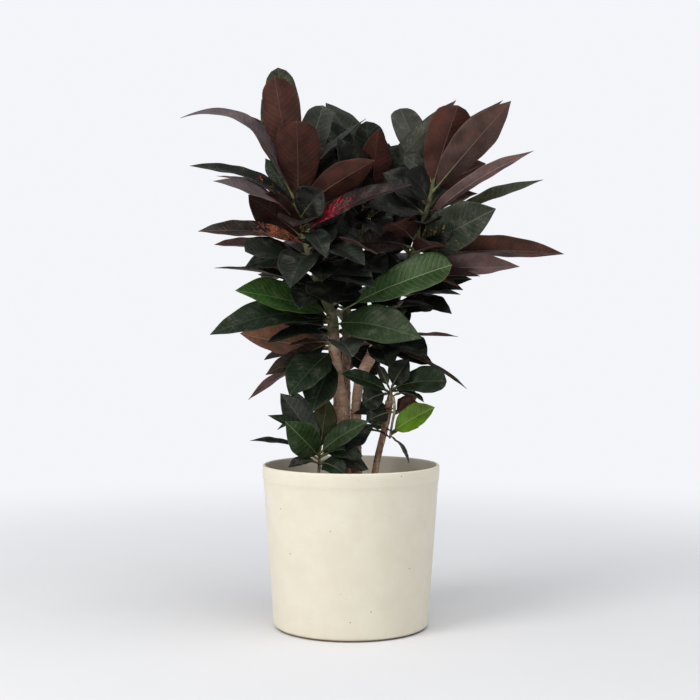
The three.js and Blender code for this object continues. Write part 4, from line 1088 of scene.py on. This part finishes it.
def bark_material():
    """Bark with pale scaly patches, fine cracks up the stem, and small raised pores."""
    n = Nodes("bark")
    tint = n.carried("tint")
    patch = n.noise(n.place(z=0.55), 95.0, 4.0, 0.65)
    crack = n.noise(n.place(z=0.16), 420.0, 4.0, 0.7)
    ring = n.noise(n.place(0.22, 0.22), 330.0, 3.0, 0.6)
    pores = n.new("ShaderNodeTexVoronoi", {"Vector": n.place(z=1.6), "Scale": 260.0})
    pore = n.fade(pores.outputs["Distance"], 0.12, 0.26)
    colour = n.mix(n.step(patch, 0.48, 0.62, 0.0, 0.75), tint, "d2bda6")
    colour = n.mix(n.fade(patch, 0.3, 0.44, 0.6), colour, "4b3627")
    colour = n.mix(n.fade(ring, 0.34, 0.48, 0.42), colour, "5e4030")
    colour = n.mix(n.fade(crack, 0.3, 0.46, 0.4), colour, "40291e")
    colour = n.mix(n.times(pore, 0.45), colour, "b8a48a")
    # Green stems show little of the bark.
    colour = n.mix(n.times(n.carried("vein", "Fac"), 0.7), colour, tint)
    n.bump(n.plus(n.times(crack, 0.8), n.plus(n.times(patch, 0.5), pore)), 0.7 * MM, 0.8)
    return n.surface(Base_Color=colour, Roughness=n.step(patch, 0.3, 0.7, 0.68, 0.88))


def soil_material(name, tinted):
    """Dark potting mix. The crumbs carry tints of their own."""
    n = Nodes(name)
    grain = n.noise(n.place(), 260.0, 6.0, 0.7)
    damp = n.noise(n.place(), 25.0, 3.0)
    ground = n.carried("tint") if tinted else n.mix(n.step(damp, 0.35, 0.65), "2a1d15", "3b2b20")
    colour = n.mix(n.step(grain, 0.42, 0.62, 0.0, 0.5), ground, "6a543f" if tinted else "5a4534")
    n.bump(grain, 1.2 * MM, 1.0)
    return n.surface(Base_Color=colour, Roughness=n.step(damp, 0.3, 0.7, 0.85, 0.96))


# Specks in the glaze: how close they are, their size, the share of places without one, and their colour.
SPECKS = [(66.0, 0.056, 0.84, "4b463a"), (150.0, 0.06, 0.86, "857660")]


def glaze_material():
    """Cream satin glaze: soft mottling, faint turning lines, sparse dark specks and a bare dark foot."""
    n = Nodes("cream_glaze")
    place = n.place()
    height = n.new("ShaderNodeSeparateXYZ", {0: place}).outputs[2]
    mottle = n.noise(place, 22.0, 4.0, 0.6)
    colour = n.mix(n.step(mottle, 0.3, 0.7), "e4dcc7", "e9e2cf")
    for scale, size, share, shade in SPECKS:
        cells = n.new("ShaderNodeTexVoronoi", {"Vector": place, "Scale": scale})
        chosen = n.new("ShaderNodeSeparateColor", {0: cells.outputs["Color"]}).outputs[0]
        dot = n.fade(cells.outputs["Distance"], size * 0.6, size * 1.6)
        dot = n.times(dot, n.step(chosen, share, share + 0.02))
        colour = n.mix(n.times(dot, 0.8), colour, shade)
    foot = n.fade(height, 2.0 * MM, 3.2 * MM)
    # The glaze darkens in patches just above the foot.
    low_darkening = n.fade(n.plus(height, n.times(mottle, 4 * MM)), 3 * MM, 8 * MM, 0.35)
    colour = n.mix(n.math("MAXIMUM", n.times(foot, 0.9), low_darkening), colour, "6b533c")
    lines = n.noise(n.place(0.15, 0.15), 260.0, 2.0)
    swell = n.noise(n.place(0.45, 0.45), 48.0, 3.0, 0.6)
    n.bump(n.plus(n.times(lines, 0.2), n.plus(n.times(mottle, 0.4), swell)), 0.5 * MM, 0.5)
    rough = n.plus(n.step(mottle, 0.3, 0.7, 0.4, 0.5), n.times(foot, 0.3))
    return n.surface(Base_Color=colour, Roughness=rough, Specular_IOR_Level=0.4)


# The stage, the lights and the camera.

BACKDROP = (0.90, 0.915, 0.95, 1)
# How strongly the backdrop's light falls on the plant, as a share of what the camera sees.
EVEN_LIGHT = 0.56
FLOOR_RINGS = [0.001, 0.3, 0.8, 1.5, 2.5, 4, 8, 16, 40]


def stage():
    """A pale round floor whose far part takes the backdrop's own brightness."""
    sides = 96
    gather = Gather()
    points = level_circles(np.array(FLOOR_RINGS)[:, None] / MM, round_angles(sides), -0.2)
    gather.add(points, grid_faces(len(FLOOR_RINGS), sides, closed=True)[:, ::-1], (0, 0))
    floor = bpy.data.objects.new("floor", gather.mesh("floor"))
    bpy.context.scene.collection.objects.link(floor)
    n = Nodes("floor_paper")
    far = n.new("ShaderNodeVectorMath", {0: n.place()}, operation="LENGTH").outputs["Value"]
    paper = n.mix(n.noise(n.place(), 6.0, 2.0), (0.76, 0.76, 0.77, 1), (0.79, 0.79, 0.80, 1))
    n.surface(Base_Color=paper, Roughness=0.9, Specular_IOR_Level=0.2)
    glow = n.new("ShaderNodeEmission", {"Color": BACKDROP, "Strength": 1.0})
    inputs = {0: n.step(far, 0.35, 2.0), 1: n.shader.outputs[0], 2: glow.outputs[0]}
    blend = n.new("ShaderNodeMixShader", inputs)
    n.put(n.tree.nodes["Material Output"].inputs["Surface"], blend.outputs[0])
    floor.data.materials.append(n.material)


def even_light():
    """Pale light from all round, brighter to the camera than to the plant."""
    world = bpy.data.worlds.new("studio")
    bpy.context.scene.world = world
    world.use_nodes = True
    tree = world.node_tree
    back = tree.nodes["Background"]
    back.inputs["Color"].default_value = BACKDROP
    seen = tree.nodes.new("ShaderNodeLightPath").outputs["Is Camera Ray"]
    power = tree.nodes.new("ShaderNodeMapRange")
    power.inputs["To Min"].default_value = EVEN_LIGHT
    power.inputs["To Max"].default_value = 1.0
    tree.links.new(seen, power.inputs["Value"])
    tree.links.new(power.outputs[0], back.inputs["Strength"])


def soft_light(name, place, aim, size, power, colour=(1, 1, 1)):
    data = bpy.data.lights.new(name, "AREA")
    data.shape, data.size, data.energy, data.color = "DISK", size, power, colour
    light = bpy.data.objects.new(name, data)
    bpy.context.scene.collection.objects.link(light)
    light.location = place
    light.rotation_euler = (Vector(aim) - Vector(place)).to_track_quat("-Z", "Y").to_euler()


def camera():
    data = bpy.data.cameras.new("camera")
    view = bpy.data.objects.new("camera", data)
    bpy.context.scene.collection.objects.link(view)
    data.sensor_width = SENSOR_WIDTH
    data.lens = SENSOR_WIDTH * FOCAL_PX / FRAME_PX
    data.shift_x = (FRAME_PX / 2 - AXIS_PX) / FRAME_PX
    data.shift_y = (HORIZON_PX - FRAME_PX / 2) / FRAME_PX
    view.location = (0, -EYE_DISTANCE * MM, EYE_HEIGHT * MM)
    view.rotation_euler = (math.pi / 2, 0, 0)
    bpy.context.scene.camera = view
    bpy.context.scene.view_settings.view_transform = "Standard"


def build():
    camera()
    stage()
    even_light()
    soft_light("window", (-2.2, -2.0, 2.0), (0, 0, 0.4), 1.8, 57, (1.0, 0.99, 0.97))
    soft_light("sky", (0.4, -0.7, 2.9), (0, 0, 0.3), 2.2, 34)
    leaves = built_leaves()
    blades = [blade_material("leaf_upper", False), blade_material("leaf_under", True), stalk_material()]
    for stem in LEAFY:
        foliage(stem, leaves, blades)
    bark = bark_material()
    for stem, look in STEM_LOOKS.items():
        name = stem + ("_stem" if stem in LEAFY else "_bark")
        piece(name, bark_stem(STEMS[stem], *look), [bark], LEAFY.get(stem, "bark"), stem)
    piece("side_shoot_callus", bark_stem(CALLUS, *CALLUS_LOOK), [bark], LEAFY[SIDE], SIDE)
    pot_piece(glaze_material())
    soil_piece(soil_material("soil", False))
    crumbs_piece(soil_material("crumbs", True))


build()
